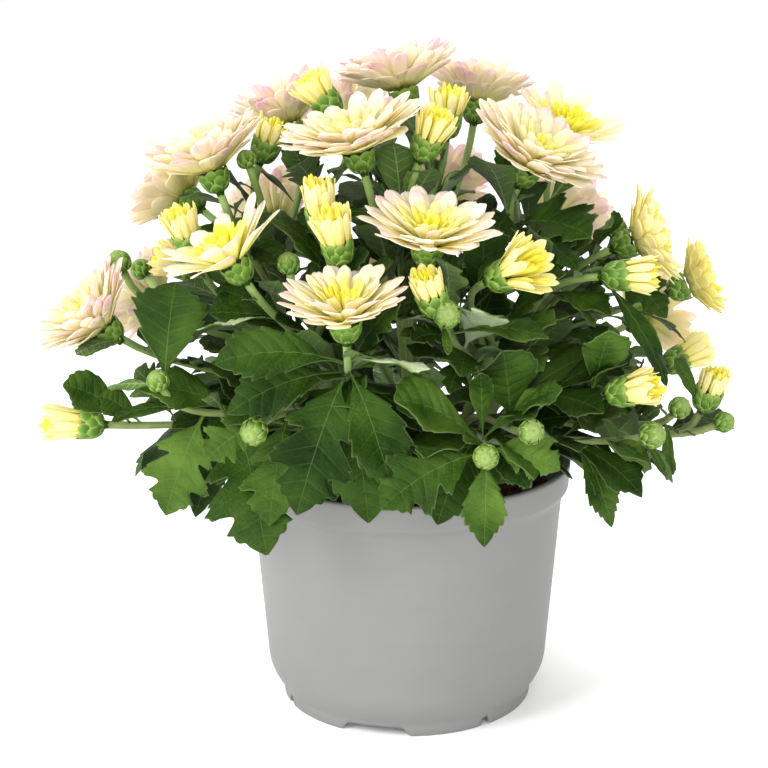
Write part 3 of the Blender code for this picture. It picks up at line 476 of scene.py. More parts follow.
# small leaves between the large ones: stem, root, tip, upper side's way, cut, width over length, tone
accentLeaves = (
    ("front_left", (-66, -70, 134), (-71, -82, 122), (0.1, -1.0, 0.4), "lobed", 0.74, 0.8),
    ("front_left", (-99, -56, 129), (-123, -66, 145), (0.1, -1.0, 0.5), "whole", 0.5, 0.5),
    ("front_left", (-87, -54, 146), (-83, -58, 181), (-0.1, -1.0, 0.2), "toothed", 0.98, 0.2),
    ("left", (-100, -42, 150), (-120, -56, 153), (0.0, 0.5, -1.0), "whole", 0.3, 0.2),
    ("front_left", (-92, -54, 146), (-108, -62, 143), (0.0, 0.4, -1.0), "whole", 0.3, 0.2),
    ("front_right", (62, -46, 120), (77, -54, 87), (0.5, -1.0, 0.1), "toothed", 0.42, 0.6),
    ("right", (97, -32, 119), (100, -34, 99), (0.3, -1.0, 0.2), "whole", 0.3, 0.5),
    ("right", (96, -20, 152), (105, -26, 124), (0.3, -1.0, 0.2), "whole", 0.28, 0.2),
    ("left", (-99, -40, 149), (-121, -46, 154), (0.1, -1.0, 0.5), "whole", 0.36, 0.2),
    ("front_right", (72, -56, 124), (84, -66, 117), (0.0, -1.0, 0.6), "whole", 0.5, 0.6),
    ("right", (76, -26, 166), (96, -40, 164), (0.0, -0.9, 0.5), "lobed", 0.64, 0.15),
    ("right", (92, -30, 158), (98, -42, 138), (0.4, -0.9, 0.2), "whole", 0.3, 0.1),
    ("right", (112, -10, 148), (102, -24, 144), (0.1, -0.8, 0.6), "whole", 0.3, 0.4),
    ("front_right", (-2, -88, 160), (14, -96, 164), (0.1, -0.6, 0.8), "whole", 0.2, 0.7),
    ("left", (-46, -34, 196), (-66, -52, 192), (0.1, -0.8, 0.6), "lobed", 0.6, 0.0),
    ("left", (-58, -22, 190), (-46, -46, 186), (0.1, -0.8, 0.6), "toothed", 0.5, 0.1),
    ("centre", (-22, -36, 204), (-40, -52, 200), (-0.1, -0.8, 0.6), "whole", 0.5, 0.0),
    ("centre", (6, -34, 206), (14, -52, 198), (0.2, -0.9, 0.5), "whole", 0.5, 0.1),
    ("right", (38, -24, 196), (30, -46, 190), (-0.1, -0.9, 0.5), "lobed", 0.56, 0.05),
    ("right", (48, -24, 190), (62, -46, 184), (0.2, -0.9, 0.5), "lobed", 0.56, 0.0),
    ("right", (62, -10, 196), (76, -30, 200), (0.3, -0.8, 0.5), "whole", 0.5, 0.1),
)
extraRules = {
    "seed": 5,
    "middle": Vector((0, 0, 118)),  # of the dome
    "reach": (120, 122, 136),  # from there to its skin
    "sight": 90,  # how far behind a leaf its line of sight is followed
    "mostHidden": 2,  # of a leaf's points
    "accentLength": 30,  # over which an accent leaf is slimmer
    "inner": 340,  # places tried inside the dome
    "innerSpan": 1.32,  # of the dome's height, from the top down
    "leastFlat": 0.05,
    "shells": ((0.16, 0.34), (0.0, 0.16)),  # how far under the skin, for every other leaf, over the reach
    "innerRoot": 0.66,
    "innerAim": 0.9,
    "innerLength": (30, 42),
    "innerWeights": (0.6, 0.7),  # of outwards and up, in the way that its upper side faces
    "innerSlant": 0.5,
    "innerTries": [(size, turn) for size in (1.0, 0.7) for turn in (0, 35, -35, 70, -70)],
    "innerWidth": 0.5,
    "lowest": 92,
    "small": ((9, (15, 24)), (12, (9, 14))),  # place on a branch's curve, and shortest and longest
    "smallWay": (0.8, 0.7, 0.2),  # weights of sideways, along the branch and up
    "smallFacing": (0.2, 0.6, 0.3),  # weights of across the leaf, up and outwards
    "smallWidth": 0.34,
}
cameraSpot = Vector((0, -700, 313))


def sheetOf(root, tip, facing, width):
    # a leaf's rough surface: four rows of three points
    at, _, half = leafShape(root, tip, facing, width)
    points = []
    for t in blade["sheetRows"]:
        middle, across, normal = at(t)
        wide = half * blade["sheetWidths"][t == 1]
        rise = blade["sheetFold"]
        points += [middle + across * side * wide + normal * rise * abs(side) * wide for side in (-1, 0, 1)]
    faces = [(3 * i + j, 3 * i + j + 1, 3 * i + j + 4, 3 * i + j + 3) for i in range(3) for j in range(2)]
    return points, faces


def hides(points, trees):
    # whether a leaf lies between the photo's camera and one of these
    count = 0
    for point in points:
        sight = (point - cameraSpot).normalized()
        count += any(tree.ray_cast(point, sight, extraRules["sight"])[0] is not None for tree in trees)
    return count > extraRules["mostHidden"]


def addExtraLeaves():
    # the rest of the foliage: accents, leaves inside the dome, and small ones under the heads
    draw = random.Random(extraRules["seed"])
    every = [path for paths in curves.values() for path in paths]
    count = 0
    shown = [BVHTree.FromPolygons(*sheetOf(*leaf[:3], leaf[4])) for name in leaves for leaf in leaves[name]
             if leaf[6] is not None]
    shown += [found[0] for node, found in cadTrees.items() if node.startswith(("bloom", "opening"))]
    shown.append(potFront)

    def tryLeaf(name, root, tip, facing, cut, width, clear):
        points, faces = sheetOf(root, tip, facing, width)
        if overlapped(points, faces, clear) or hides(points, shown):
            return False
        leaves[name].append((root, tip, facing, cut, width, True, None))
        return True

    usual = extraRules["accentLength"]
    for name, root, tip, facing, cut, width, tone in accentLeaves:
        root, tip = nearest(curves[name], Vector(root)), Vector(tip)
        width = width * usual / max(usual, (tip - root).length)
        leaves[name].append((root, tip, Vector(facing).normalized(), cut, width, False, tone))
    for k in range(extraRules["inner"]):
        height = 1 - extraRules["innerSpan"] * (k + 0.5) / extraRules["inner"]
        flat = math.sqrt(max(extraRules["leastFlat"], 1 - height * height))
        way = Vector((flat * math.cos(goldenTurn * k), flat * math.sin(goldenTurn * k), height))
        reach = Vector([a * b for a, b in zip(way, extraRules["reach"])])
        depth = draw.uniform(*extraRules["shells"][k % 2])
        root = nearest(every, extraRules["middle"] + reach * (extraRules["innerRoot"] - depth))
        name = min(curves, key=lambda n: (nearest(curves[n], root) - root).length)
        aim = extraRules["middle"] + reach * (extraRules["innerAim"] - depth)
        length = draw.uniform(*extraRules["innerLength"])
        lean = (aim - root).normalized()
        slant = draw.uniform(-extraRules["innerSlant"], extraRules["innerSlant"])
        facing = blend((*extraRules["innerWeights"], slant), (way, up, lean.cross(up)))
        cut = draw.choice(("lobed", "toothed", "whole"))
        own, wide = ("leafy_stem_" + name,), extraRules["innerWidth"]
        for size, turn in extraRules["innerTries"]:
            tip = root + Matrix.Rotation(math.radians(turn), 3, "Z") @ lean * length * size
            if tip.z > extraRules["lowest"] and tryLeaf(name, root, tip, facing, cut, wide, own):
                count += 1
                break
    for name, paths in curves.items():
        for number, path in enumerate(paths[1:]):
            for order, (k, lengths) in enumerate(extraRules["small"]):
                root = path[k]
                along = (path[k + 1] - path[k]).normalized()
                turn = goldenTurn * (number * 2 + order + 1)
                side = Matrix.Rotation(turn, 3, along) @ along.orthogonal().normalized()
                length = draw.uniform(*lengths)
                way = blend(extraRules["smallWay"], (side, along, up))
                facing = blend(extraRules["smallFacing"], (side.cross(along).cross(way), up, level(root)))
                tip = root + way * length
                count += tryLeaf(name, root, tip, facing, "whole", extraRules["smallWidth"], ())
    print("more leaves", count)


addExtraLeaves()

print("materials")


def colour(text):
    # sRGB hex to linear
    parts = [int(text[k:k + 2], 16) / 255 for k in (0, 2, 4)]
    return [c / 12.92 if c <= 0.04045 else ((c + 0.055) / 1.055) ** 2.4 for c in parts] + [1.0]


def setInputs(tree, node, inputs):
    # each input is a value, or a socket to link from
    for name, value in inputs.items():
        if isinstance(value, bpy.types.NodeSocket):
            tree.links.new(value, node.inputs[name])
        else:
            node.inputs[name].default_value = value


def addNode(tree, kind, settings=(), inputs=(), output=0):
    # adds a node with its settings and links, and gives the output asked for
    made = tree.nodes.new("ShaderNode" + kind)
    for name, value in dict(settings).items():
        if name == "stops":  # a ramp's places and colours
            ramp = made.color_ramp.elements
            while len(ramp) < len(value):
                ramp.new(0.5)
            for element, (place, tint) in zip(ramp, value):
                element.position = place
                element.color = colour(tint)
        else:
            setattr(made, name, value)
    setInputs(tree, made, dict(inputs))
    return made.outputs[output]


rgba, smoothly = {"data_type": "RGBA"}, {"interpolation_type": "SMOOTHSTEP"}
# what each vertex of a petal or bract, and of a leaf, says to its material
sheetLayers = ("along", "across", "tone", "youth")
leafLayers = ("along", "across", "tone", "rib", "veinCount", "spacing")


def newMaterial(name, settings, layers=()):
    # a material, its shader, and what it reads: the place in space and the mesh's own layers
    made = bpy.data.materials.new(name)
    made.use_nodes = True
    tree = made.node_tree
    shader = tree.nodes["Principled BSDF"]
    setInputs(tree, shader, settings)
    read = {layer: addNode(tree, "Attribute", {"attribute_name": layer}, output="Fac") for layer in layers}
    read["place"] = addNode(tree, "TexCoord", output="Object")
    return made, tree, shader, read


# moulded polypropylene: soft even grey with a faint satin, a grain drawn as coarse as 1 mm to show, and
# hardly visible flow marks, some 35 mm wide and 10 mm high
potPlastic, tree, shader, read = newMaterial("mouldedPolypropylene", {"IOR": 1.49})
flow = addNode(tree, "Mapping", {}, {"Vector": read["place"], "Scale": (18, 18, 60)})
marks = addNode(tree, "TexNoise", {}, {"Vector": flow, "Scale": 1.6, "Detail": 4.0}, "Fac")
grain = addNode(tree, "TexNoise", {}, {"Vector": read["place"], "Scale": 900.0, "Detail": 2.0}, "Fac")
tint = addNode(tree, "ValToRGB", {"stops": ((0.3, "727271"), (0.7, "757574"))}, {"Fac": marks})
satin = addNode(tree, "MapRange", {}, {"Value": marks, "To Min": 0.4, "To Max": 0.56})
bump = addNode(tree, "Bump", {}, {"Strength": 0.12, "Distance": 0.0002, "Height": grain})
setInputs(tree, shader, {"Base Color": tint, "Roughness": satin, "Normal": bump})

# damp peat: dark brown crumbs with paler fibres, quite dull; the crumbs are drawn as coarse as 2.4 mm to show
peat, tree, shader, read = newMaterial("dampPeat", {"Roughness": 0.95, "IOR": 1.4})
crumb = addNode(tree, "TexNoise", {}, {"Vector": read["place"], "Scale": 420.0, "Detail": 6.0}, "Fac")
peatStops = ((0.3, "2a1a12"), (0.55, "4a2f22"), (0.75, "7a5542"))
tint = addNode(tree, "ValToRGB", {"stops": peatStops}, {"Fac": crumb})
bump = addNode(tree, "Bump", {}, {"Strength": 0.8, "Distance": 0.001, "Height": crumb})
setInputs(tree, shader, {"Base Color": tint, "Normal": bump})


def veinLines(tree, read, ribWidth, sideWidth, sideMost):
    # from 0 to 1: the rib, narrower towards the tip, and fainter side veins, both drawn in real mm
    fromRib = addNode(tree, "Math", {"operation": "ABSOLUTE"}, {0: read["rib"]})
    ribEnds = {"To Min": ribWidth, "To Max": ribWidth * 0.3}
    wide = addNode(tree, "MapRange", {}, {"Value": read["along"], **ribEnds})
    ribLine = addNode(tree, "MapRange", smoothly,
                      {"Value": fromRib, "From Max": wide, "To Min": 1.0, "To Max": 0.0})
    nearSide = addNode(tree, "Math", {"operation": "PINGPONG"}, {0: read["veinCount"], 1: 0.5})
    fromSide = addNode(tree, "Math", {"operation": "MULTIPLY"}, {0: nearSide, 1: read["spacing"]})
    sideEnds = {"From Max": sideWidth, "To Min": sideMost, "To Max": 0.0}
    sideLine = addNode(tree, "MapRange", smoothly, {"Value": fromSide, **sideEnds})
    edgeward = addNode(tree, "Math", {"operation": "ABSOLUTE"}, {0: read["across"]})
    fade = addNode(tree, "MapRange", {}, {"Value": edgeward, "To Min": 1.0, "To Max": 0.15})
    sideShare = addNode(tree, "Math", {"operation": "MULTIPLY"}, {0: sideLine, 1: fade})
    veins = addNode(tree, "Math", {"operation": "MAXIMUM"}, {0: ribLine, 1: sideShare})
    # streaks of hairs along the side veins, about 0.4 mm wide and 3 mm long: coarser than real hairs, to show
    lay = addNode(tree, "CombineXYZ", {}, {0: read["veinCount"], 1: read["rib"]})
    longLay = addNode(tree, "Mapping", {}, {"Vector": lay, "Scale": (13.0, 0.3, 1.0)})
    hairs = {"Scale": 1.0, "Detail": 6.0, "Roughness": 0.75}
    streaks = addNode(tree, "TexNoise", {}, {"Vector": longLay, **hairs}, "Fac")
    return veins, streaks, edgeward


# leaf, upper side: deep green and matt, with fine paler veins and a bloom of short hairs, in patches of
# about 22 mm, and puckered at about 1.2 mm between the finest veins
leafUpper, tree, shader, read = newMaterial(
    "leafUpperSide", {"Roughness": 0.42, "IOR": 1.4, "Specular IOR Level": 0.14}, leafLayers)
veins, streaks, edgeward = veinLines(tree, read, 0.5, 0.4, 0.45)
blotch = addNode(tree, "TexNoise", {}, {"Vector": read["place"], "Scale": 45.0, "Detail": 3.0}, "Fac")
cells = addNode(tree, "TexVoronoi", {}, {"Vector": read["place"], "Scale": 800.0}, "Distance")
mottle = addNode(tree, "Mix", {}, {0: 0.35, 2: blotch, 3: streaks})
darkStops, brightStops = ((0.38, "0a1e00"), (0.62, "264108")), ((0.38, "203d03"), (0.62, "57742a"))
dark = addNode(tree, "ValToRGB", {"stops": darkStops}, {"Fac": mottle})
bright = addNode(tree, "ValToRGB", {"stops": brightStops}, {"Fac": mottle})
base = addNode(tree, "Mix", rgba, {0: read["tone"], 6: dark, 7: bright}, 2)
# painted sunlight: leaves of the highest tones take a brighter yellow-green, as if lit by the sun
paintedSunShare = addNode(tree, "MapRange", {}, {"Value": read["tone"], "From Min": 0.85, "From Max": 1.0})
paintedSunlitBase = addNode(tree, "Mix", rgba, {0: paintedSunShare, 6: base, 7: colour("3f6c06")}, 2)
veinShare = addNode(tree, "Math", {"operation": "MULTIPLY"}, {0: veins, 1: 0.3})
veined = addNode(tree, "Mix", rgba, {0: veinShare, 6: paintedSunlitBase, 7: colour("718f4c")}, 2)
rim = {"From Min": 0.95, "From Max": 1.0, "To Max": 0.2}
margin = addNode(tree, "MapRange", {}, {"Value": edgeward, **rim})
edged = addNode(tree, "Mix", rgba, {0: margin, 6: veined, 7: colour("8a9c66")}, 2)
grain = addNode(tree, "Math", {"operation": "MULTIPLY_ADD"}, {0: streaks, 1: 1.6, 2: cells})
relief = addNode(tree, "Math", {"operation": "MULTIPLY_ADD"}, {0: veins, 1: -1.0, 2: grain})
bump = addNode(tree, "Bump", {}, {"Strength": 0.5, "Distance": 0.0006, "Height": relief})
setInputs(tree, shader, {"Base Color": edged, "Normal": bump})

# leaf, under side: pale grey-green felt, with veins that stand out; dull where the upper side is dark
leafUnder, tree, shader, read = newMaterial(
    "leafUnderSide", {"Roughness": 0.8, "IOR": 1.4, "Specular IOR Level": 0.2, "Sheen Weight": 0.1,
                      "Sheen Roughness": 0.5}, leafLayers)
veins, streaks, _ = veinLines(tree, read, 0.7, 0.4, 0.7)
dull = addNode(tree, "ValToRGB", {"stops": ((0.3, "36501a"), (0.7, "557034"))}, {"Fac": streaks})
pale = addNode(tree, "ValToRGB", {"stops": ((0.3, "a2b58a"), (0.7, "bfcfa8"))}, {"Fac": streaks})
felt = addNode(tree, "MapRange", {}, {"Value": read["tone"], "From Min": 0.35})
base = addNode(tree, "Mix", rgba, {0: felt, 6: dull, 7: pale}, 2)
veinShare = addNode(tree, "Math", {"operation": "MULTIPLY"}, {0: veins, 1: 0.5})
veined = addNode(tree, "Mix", rgba, {0: veinShare, 6: base, 7: colour("a3b682")}, 2)
bump = addNode(tree, "Bump", {}, {"Strength": 0.4, "Distance": 0.0004, "Height": veins})
setInputs(tree, shader, {"Base Color": veined, "Normal": bump})

# stem: pale green in shades of about 11 mm, and browner where it comes out of the soil
stemSkin, tree, shader, read = newMaterial(
    "ribbedStem", {"Roughness": 0.55, "IOR": 1.4, "Sheen Weight": 0.15})
height = addNode(tree, "SeparateXYZ", {}, {0: read["place"]}, 2)
age = addNode(tree, "MapRange", {}, {"Value": height, "From Min": 0.08, "From Max": 0.15})
shade = addNode(tree, "TexNoise", {}, {"Vector": read["place"], "Scale": 90.0, "Detail": 3.0}, "Fac")
young = addNode(tree, "ValToRGB", {"stops": ((0.3, "607c36"), (0.7, "829a50"))}, {"Fac": shade})
skin = addNode(tree, "Mix", rgba, {0: age, 6: colour("6b6a42"), 7: young}, 2)
setInputs(tree, shader, {"Base Color": skin})

# calyx: overlapping bracts, mid green with a pale dry margin; a bud's own folded petals are paler
bractSkin, tree, shader, read = newMaterial(
    "calyxBracts", {"Roughness": 0.55, "IOR": 1.4, "Specular IOR Level": 0.2}, sheetLayers)
oldStops = ((0.0, "27430a"), (0.6, "43641a"), (1.0, "688a36"))
freshStops = ((0.0, "395a10"), (0.6, "587a26"), (1.0, "839c50"))
old = addNode(tree, "ValToRGB", {"stops": oldStops}, {"Fac": read["along"]})
fresh = addNode(tree, "ValToRGB", {"stops": freshStops}, {"Fac": read["along"]})
green = addNode(tree, "Mix", rgba, {0: read["tone"], 6: old, 7: fresh}, 2)
side = addNode(tree, "Math", {"operation": "ABSOLUTE"}, {0: read["across"]})
rim = {"From Min": 0.6, "From Max": 1.0, "To Max": 0.4}
margin = addNode(tree, "MapRange", {}, {"Value": side, **rim})
bract = addNode(tree, "Mix", rgba, {0: margin, 6: green, 7: colour("a6b572")}, 2)
folded = addNode(tree, "Mix", rgba, {0: read["youth"], 6: bract, 7: colour("87985a")}, 2)
setInputs(tree, shader, {"Base Color": folded})


def petalMaterial(name, stops, fresh, blush, blushFrom, blushMost):
    # a petal's side: thin, soft and dull, with about four ribs lengthwise, yellow at the root, and flushed
    # towards the tip in clouds of about 11 mm
    made, tree, shader, read = newMaterial(
        name, {"Roughness": 0.7, "IOR": 1.36, "Specular IOR Level": 0.25}, sheetLayers)
    base = addNode(tree, "ValToRGB", {"stops": stops}, {"Fac": read["along"]})
    yellow = addNode(tree, "Mix", rgba, {0: read["youth"], 6: base, 7: colour(fresh)}, 2)
    streak = addNode(tree, "Math", {"operation": "MULTIPLY_ADD"},
                     {0: read["across"], 1: 7.0, 2: read["tone"]})
    wave = addNode(tree, "Math", {"operation": "SINE"}, {0: streak})
    cloud = addNode(tree, "TexNoise", {}, {"Vector": read["place"], "Scale": 90.0}, "Fac")
    tipward = addNode(tree, "MapRange", smoothly,
                      {"Value": read["along"], "From Min": blushFrom, "From Max": 1.0})
    uneven = addNode(tree, "Math", {"operation": "MULTIPLY_ADD"}, {0: wave, 1: 0.12, 2: cloud})
    flushed = addNode(tree, "Math", {"operation": "MULTIPLY"}, {0: tipward, 1: uneven})
    # few petals are flushed, and the young ones aren't
    few = {"From Min": 0.35, "From Max": 1.0, "To Max": blushMost}
    chosen = addNode(tree, "MapRange", smoothly, {"Value": read["tone"], **few})
    chance = addNode(tree, "Math", {"operation": "MULTIPLY"}, {0: flushed, 1: chosen})
    grown = addNode(tree, "MapRange", {},
                    {"Value": read["youth"], "From Max": 0.35, "To Min": 1.0, "To Max": 0.0})
    clamped = {"operation": "MULTIPLY", "use_clamp": True}
    share = addNode(tree, "Math", clamped, {0: chance, 1: grown})
    final = addNode(tree, "Mix", rgba, {0: share, 6: yellow, 7: colour(blush)}, 2)
    ribs = addNode(tree, "Math", {"operation": "MULTIPLY"}, {0: read["across"], 1: 12.0})
    ribWave = addNode(tree, "Math", {"operation": "SINE"}, {0: ribs})
    bump = addNode(tree, "Bump", {}, {"Strength": 0.25, "Distance": 0.0003, "Height": ribWave})
    setInputs(tree, shader, {"Base Color": final, "Normal": bump})
    # light comes through it
    through = addNode(tree, "BsdfTranslucent", {}, {"Color": final})
    both = addNode(tree, "MixShader", {}, {0: 0.56, 1: shader.outputs[0], 2: through})
    setInputs(tree, tree.nodes["Material Output"], {"Surface": both})
    return made


upperStops = ((0.0, "faf580"), (0.2, "fdf9b4"), (0.45, "fef9d6"), (1.0, "fdf9ea"))
underStops = ((0.0, "fbf69c"), (0.3, "fffac6"), (0.65, "fff8e6"), (1.0, "fff4f2"))
petalUpper = petalMaterial("petalUpperSide", upperStops, "faf360", "f0cad6", 0.72, 1.0)
petalUnder = petalMaterial("petalUnderSide", underStops, "fcf684", "eec6da", 0.3, 1.4)

# painted board under a softbox: plain and pale
floorPaint, *_ = newMaterial("paleFloor", {"Roughness": 0.9, "Base Color": colour("ffffff")})


def finishPiece(bm, name, materials, nodes, thickness=None):
    # to metres and into the scene; a sheet gets its thickness, and a second material on its under side
    bmesh.ops.scale(bm, vec=(mm, mm, mm), verts=bm.verts)
    for face in bm.faces:
        face.smooth = True
    mesh = bpy.data.meshes.new(name)
    bm.to_mesh(mesh)
    bm.free()
    for material in materials:
        mesh.materials.append(material)
    piece = bpy.data.objects.new(name, mesh)
    bpy.context.scene.collection.objects.link(piece)
    if thickness:
        solid = piece.modifiers.new("thickness", "SOLIDIFY")
        solid.thickness = thickness * mm
        solid.offset = -1.0
        solid.use_rim = True
        solid.material_offset = 1 if len(materials) > 1 else 0
    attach(piece, "root")
    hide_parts(*nodes)


def turnTo(axis):
    return Vector(axis).normalized().to_track_quat("Z", "Y").to_matrix()


def newSheet(names=sheetLayers):
    # an empty mesh with a number per vertex for each of its layers
    bm = bmesh.new()
    return bm, {name: bm.verts.layers.float.new(name) for name in names}


print("pot")
pot = {
    "steps": 360,
    # (radius, height) up the outside and down the inside
    "outline": (
        (0.0, 4.6), (47.9, 4.6), (48.5, 4.2), (48.7, 0.3), (48.95, 0.0), (50.0, 0.0), (50.3, 0.3),
        (50.5, 3.4), (50.8, 4.8), (51.4, 6.0), (52.5, 7.6), (53.7, 9.4), (54.8, 11.4), (55.6, 13.4),
        (56.15, 15.4), (56.5, 17.4), (57.85, 34.0), (59.2, 50.0), (60.5, 66.0), (61.95, 83.6), (62.2, 84.9),
        (62.7, 86.0), (63.7, 87.3), (64.35, 88.1), (64.65, 88.8), (64.75, 89.8), (65.1, 95.6), (65.3, 97.2),
        (65.2, 97.9), (64.8, 98.4), (64.3, 98.5), (63.6, 98.5), (63.2, 98.3), (63.0, 97.8), (62.8, 92.0),
        (62.7, 90.2), (62.3, 88.6), (61.2, 86.4), (60.9, 85.2), (58.1, 52.0), (55.2, 17.4), (54.1, 13.0),
        (51.6, 8.6), (49.6, 6.5), (48.6, 6.0), (0.0, 6.0),
    ),
    # gaps through the foot: bearings and widths in degrees, height in mm
    "gaps": (
        {"at": (-14.5, 105.5, 225.5), "half": 16.8, "slope": 4.8, "height": 3.6},
        {"at": (37.5, 165.5, 293.5), "half": 3.0, "slope": 1.9, "height": 3.9},
    ),
    "footInside": 48,
    "footTop": 3.3,
    "crease": 50,  # degrees over which an edge is sharp
}


def turned(outline, steps):
    # an outline of (radius, height), spun about the axis
    bm = bmesh.new()
    made = [bm.verts.new((radius, 0, height)) for radius, height in outline]
    edges = [bm.edges.new(pair) for pair in zip(made, made[1:])]
    bmesh.ops.spin(bm, geom=made + edges, cent=(0, 0, 0), axis=(0, 0, 1), angle=2 * math.pi, steps=steps,
                   use_merge=True)
    bmesh.ops.remove_doubles(bm, verts=bm.verts, dist=0.001)
    bmesh.ops.recalc_face_normals(bm, faces=bm.faces)
    return bm


def sharpen(bm, angle):
    for edge in bm.edges:
        if edge.is_manifold and edge.calc_face_angle(0) > math.radians(angle):
            edge.smooth = False


def buildPot():
    bm = turned(pot["outline"], pot["steps"])
    for vert in bm.verts:
        radius = math.hypot(vert.co.x, vert.co.y)
        if radius < pot["footInside"] or vert.co.z > pot["footTop"]:
            continue
        bearing = math.degrees(math.atan2(vert.co.x, -vert.co.y))
        for gap in pot["gaps"]:
            off = min(abs((bearing - at + 180) % 360 - 180) for at in gap["at"])
            share = min(1.0, max(0.0, (gap["half"] - off) / gap["slope"]))
            vert.co.z = max(vert.co.z, gap["height"] * share * share * (3 - 2 * share))
    sharpen(bm, pot["crease"])
    finishPiece(bm, "potShell", [potPlastic], ["pot"])


buildPot()

print("soil")
soil = {
    "steps": 120,
    "top": 83.0,
    "side": ((0.0, 6.4), (48.9, 6.4), (54.5, 17.0), (60.1, 81.0)),  # (radius, height) inside the pot
    "radius": 60,
    "rings": 34,
    "inset": 0.4,  # of each ring of the top
    "mound": (1.6, 0.13, 1, 0.11),  # height, waves across, their phase, and waves in depth
    "rough": 1.3,
    "roughScale": 0.16,
    "crumbs": 700,
    "crumb": (0.5, 1.7),
    "crumbDepth": (0.5, 1),  # over its width
    "crumbHeight": (0.4, 0.9),
    "crumbRadius": 58.5,
    "crumbLift": (-0.2, 0.9),
    "seed": 3,
}


def mound(x, y):
    height, across, phase, deep = soil["mound"]
    return height * math.sin(x * across + phase) * math.cos(y * deep)


def buildSoil():
    rings = soil["rings"]
    radii = [soil["radius"] - soil["radius"] * k / rings for k in range(rings + 1)]
    top = tuple((max(0.0, radius - soil["inset"]), soil["top"]) for radius in radii)
    bm = turned(soil["side"] + top, soil["steps"])
    for vert in bm.verts:
        if vert.co.z > soil["top"] - 1:
            rough = noise.fractal(vert.co * soil["roughScale"], 1.0, 2.0, 4)
            vert.co.z += mound(vert.co.x, vert.co.y) + soil["rough"] * rough
    draw = random.Random(soil["seed"])
    for _ in range(soil["crumbs"]):
        radius = soil["crumbRadius"] * math.sqrt(draw.random())
        at = fromFront(draw.uniform(0, 360), radius, soil["top"])
        at.z += mound(at.x, at.y) + draw.uniform(*soil["crumbLift"])
        size = draw.uniform(*soil["crumb"])
        spin = Matrix.Rotation(draw.uniform(0, 6), 4, "Z")
        deep, high = size * draw.uniform(*soil["crumbDepth"]), size * draw.uniform(*soil["crumbHeight"])
        shape = Matrix.Translation(at) @ spin @ Matrix.Diagonal((size, deep, high, 1))
        bmesh.ops.create_icosphere(bm, subdivisions=1, radius=1.0, matrix=shape)
    finishPiece(bm, "peatTop", [peat], ["soil"])


buildSoil()

print("stems")
stemLook = {
    "mainSides": 16,
    "sides": 10,
    "rib": 0.07,
    "swell": 1.15,  # of a branch at its ends
    "waist": 0.2,
}


def addPart(bm, part, name):
    # puts a separate bmesh into another
    joined = bpy.data.meshes.new(name)
    part.to_mesh(joined)
    part.free()
    bm.from_mesh(joined)
    bpy.data.meshes.remove(joined)


def addTube(bm, path, radii, sides):
    # a ribbed stem: a ring of points, extruded from place to place along the path
    part = bmesh.new()
    turn = turnTo(path[1] - path[0])
    ring = bmesh.ops.create_circle(part, cap_ends=True, radius=1.0, segments=sides)["verts"]
    shape = [vert.co.copy() * (1 + stemLook["rib"] * (-1) ** k) for k, vert in enumerate(ring)]
    for place, (point, radius) in enumerate(zip(path, radii)):
        ahead, behind = path[min(place + 1, len(path) - 1)], path[max(place - 1, 0)]
        turn = turn.col[2].rotation_difference((ahead - behind).normalized()).to_matrix() @ turn
        if place:
            edges = [edge for edge in part.edges if all(v in ring for v in edge.verts)]
            made = bmesh.ops.extrude_edge_only(part, edges=edges)["geom"]
            new = [item for item in made if isinstance(item, bmesh.types.BMVert)]
            order = {}
            for vert in new:
                for edge in vert.link_edges:
                    other = edge.other_vert(vert)
                    if other in ring:
                        order[ring.index(other)] = vert
            ring = [order[k] for k in range(sides)]
        for vert, corner in zip(ring, shape):
            vert.co = point + turn @ (corner * radius)
    part.faces.new(ring)
    bmesh.ops.recalc_face_normals(part, faces=part.faces)
    addPart(bm, part, "tube")


def buildStems(name):
    bm = bmesh.new()
    thick, thin = stemDesign["radius"]
    for number, path in enumerate(curves[name]):
        count = len(path)
        if number == 0:
            foot = path[0] - up * (stemDesign["collar"] + stemDesign["holeDepth"])
            path = [foot] + path
            radii = [thick] + [thick + (thin - thick) * k / (count - 1) for k in range(count)]
            addTube(bm, path, radii, stemLook["mainSides"])
        else:
            slim = stemDesign["pedicel"]
            waists = [stemLook["waist"] * math.sin(math.pi * k / (count - 1)) for k in range(count)]
            radii = [slim * (stemLook["swell"] - waist) for waist in waists]
            addTube(bm, path, radii, stemLook["sides"])
    finishPiece(bm, "stems_" + name, [stemSkin], ["leafy_stem_" + name])


for name in stems:
    buildStems(name)

print("leaves")
leafLook = {
    "big": (10, 66),  # squares across and along
    "small": (4, 20),
    "thickness": 0.45,
    "tone": (0.15, 0.25),  # middle and spread, where a leaf has none of its own
    "mostTone": 0.8,
    "forward": 0.26,  # how far the rows run ahead of the rib at the edge
    "unlike": (0.88, 1.06),  # one half's width to the other's
    "spacing": 0.12,  # of the side veins, over the length
    "ripple": (0.03, 0.06),
    "waves": 9,
    "quilt": 0.016,
    "quilted": (0.2, 0.95),  # part of the rib where the blade bulges between its veins
    "curl": (-0.05, 0.2),
    "droop": 0.25,
    "seed": 21,
}


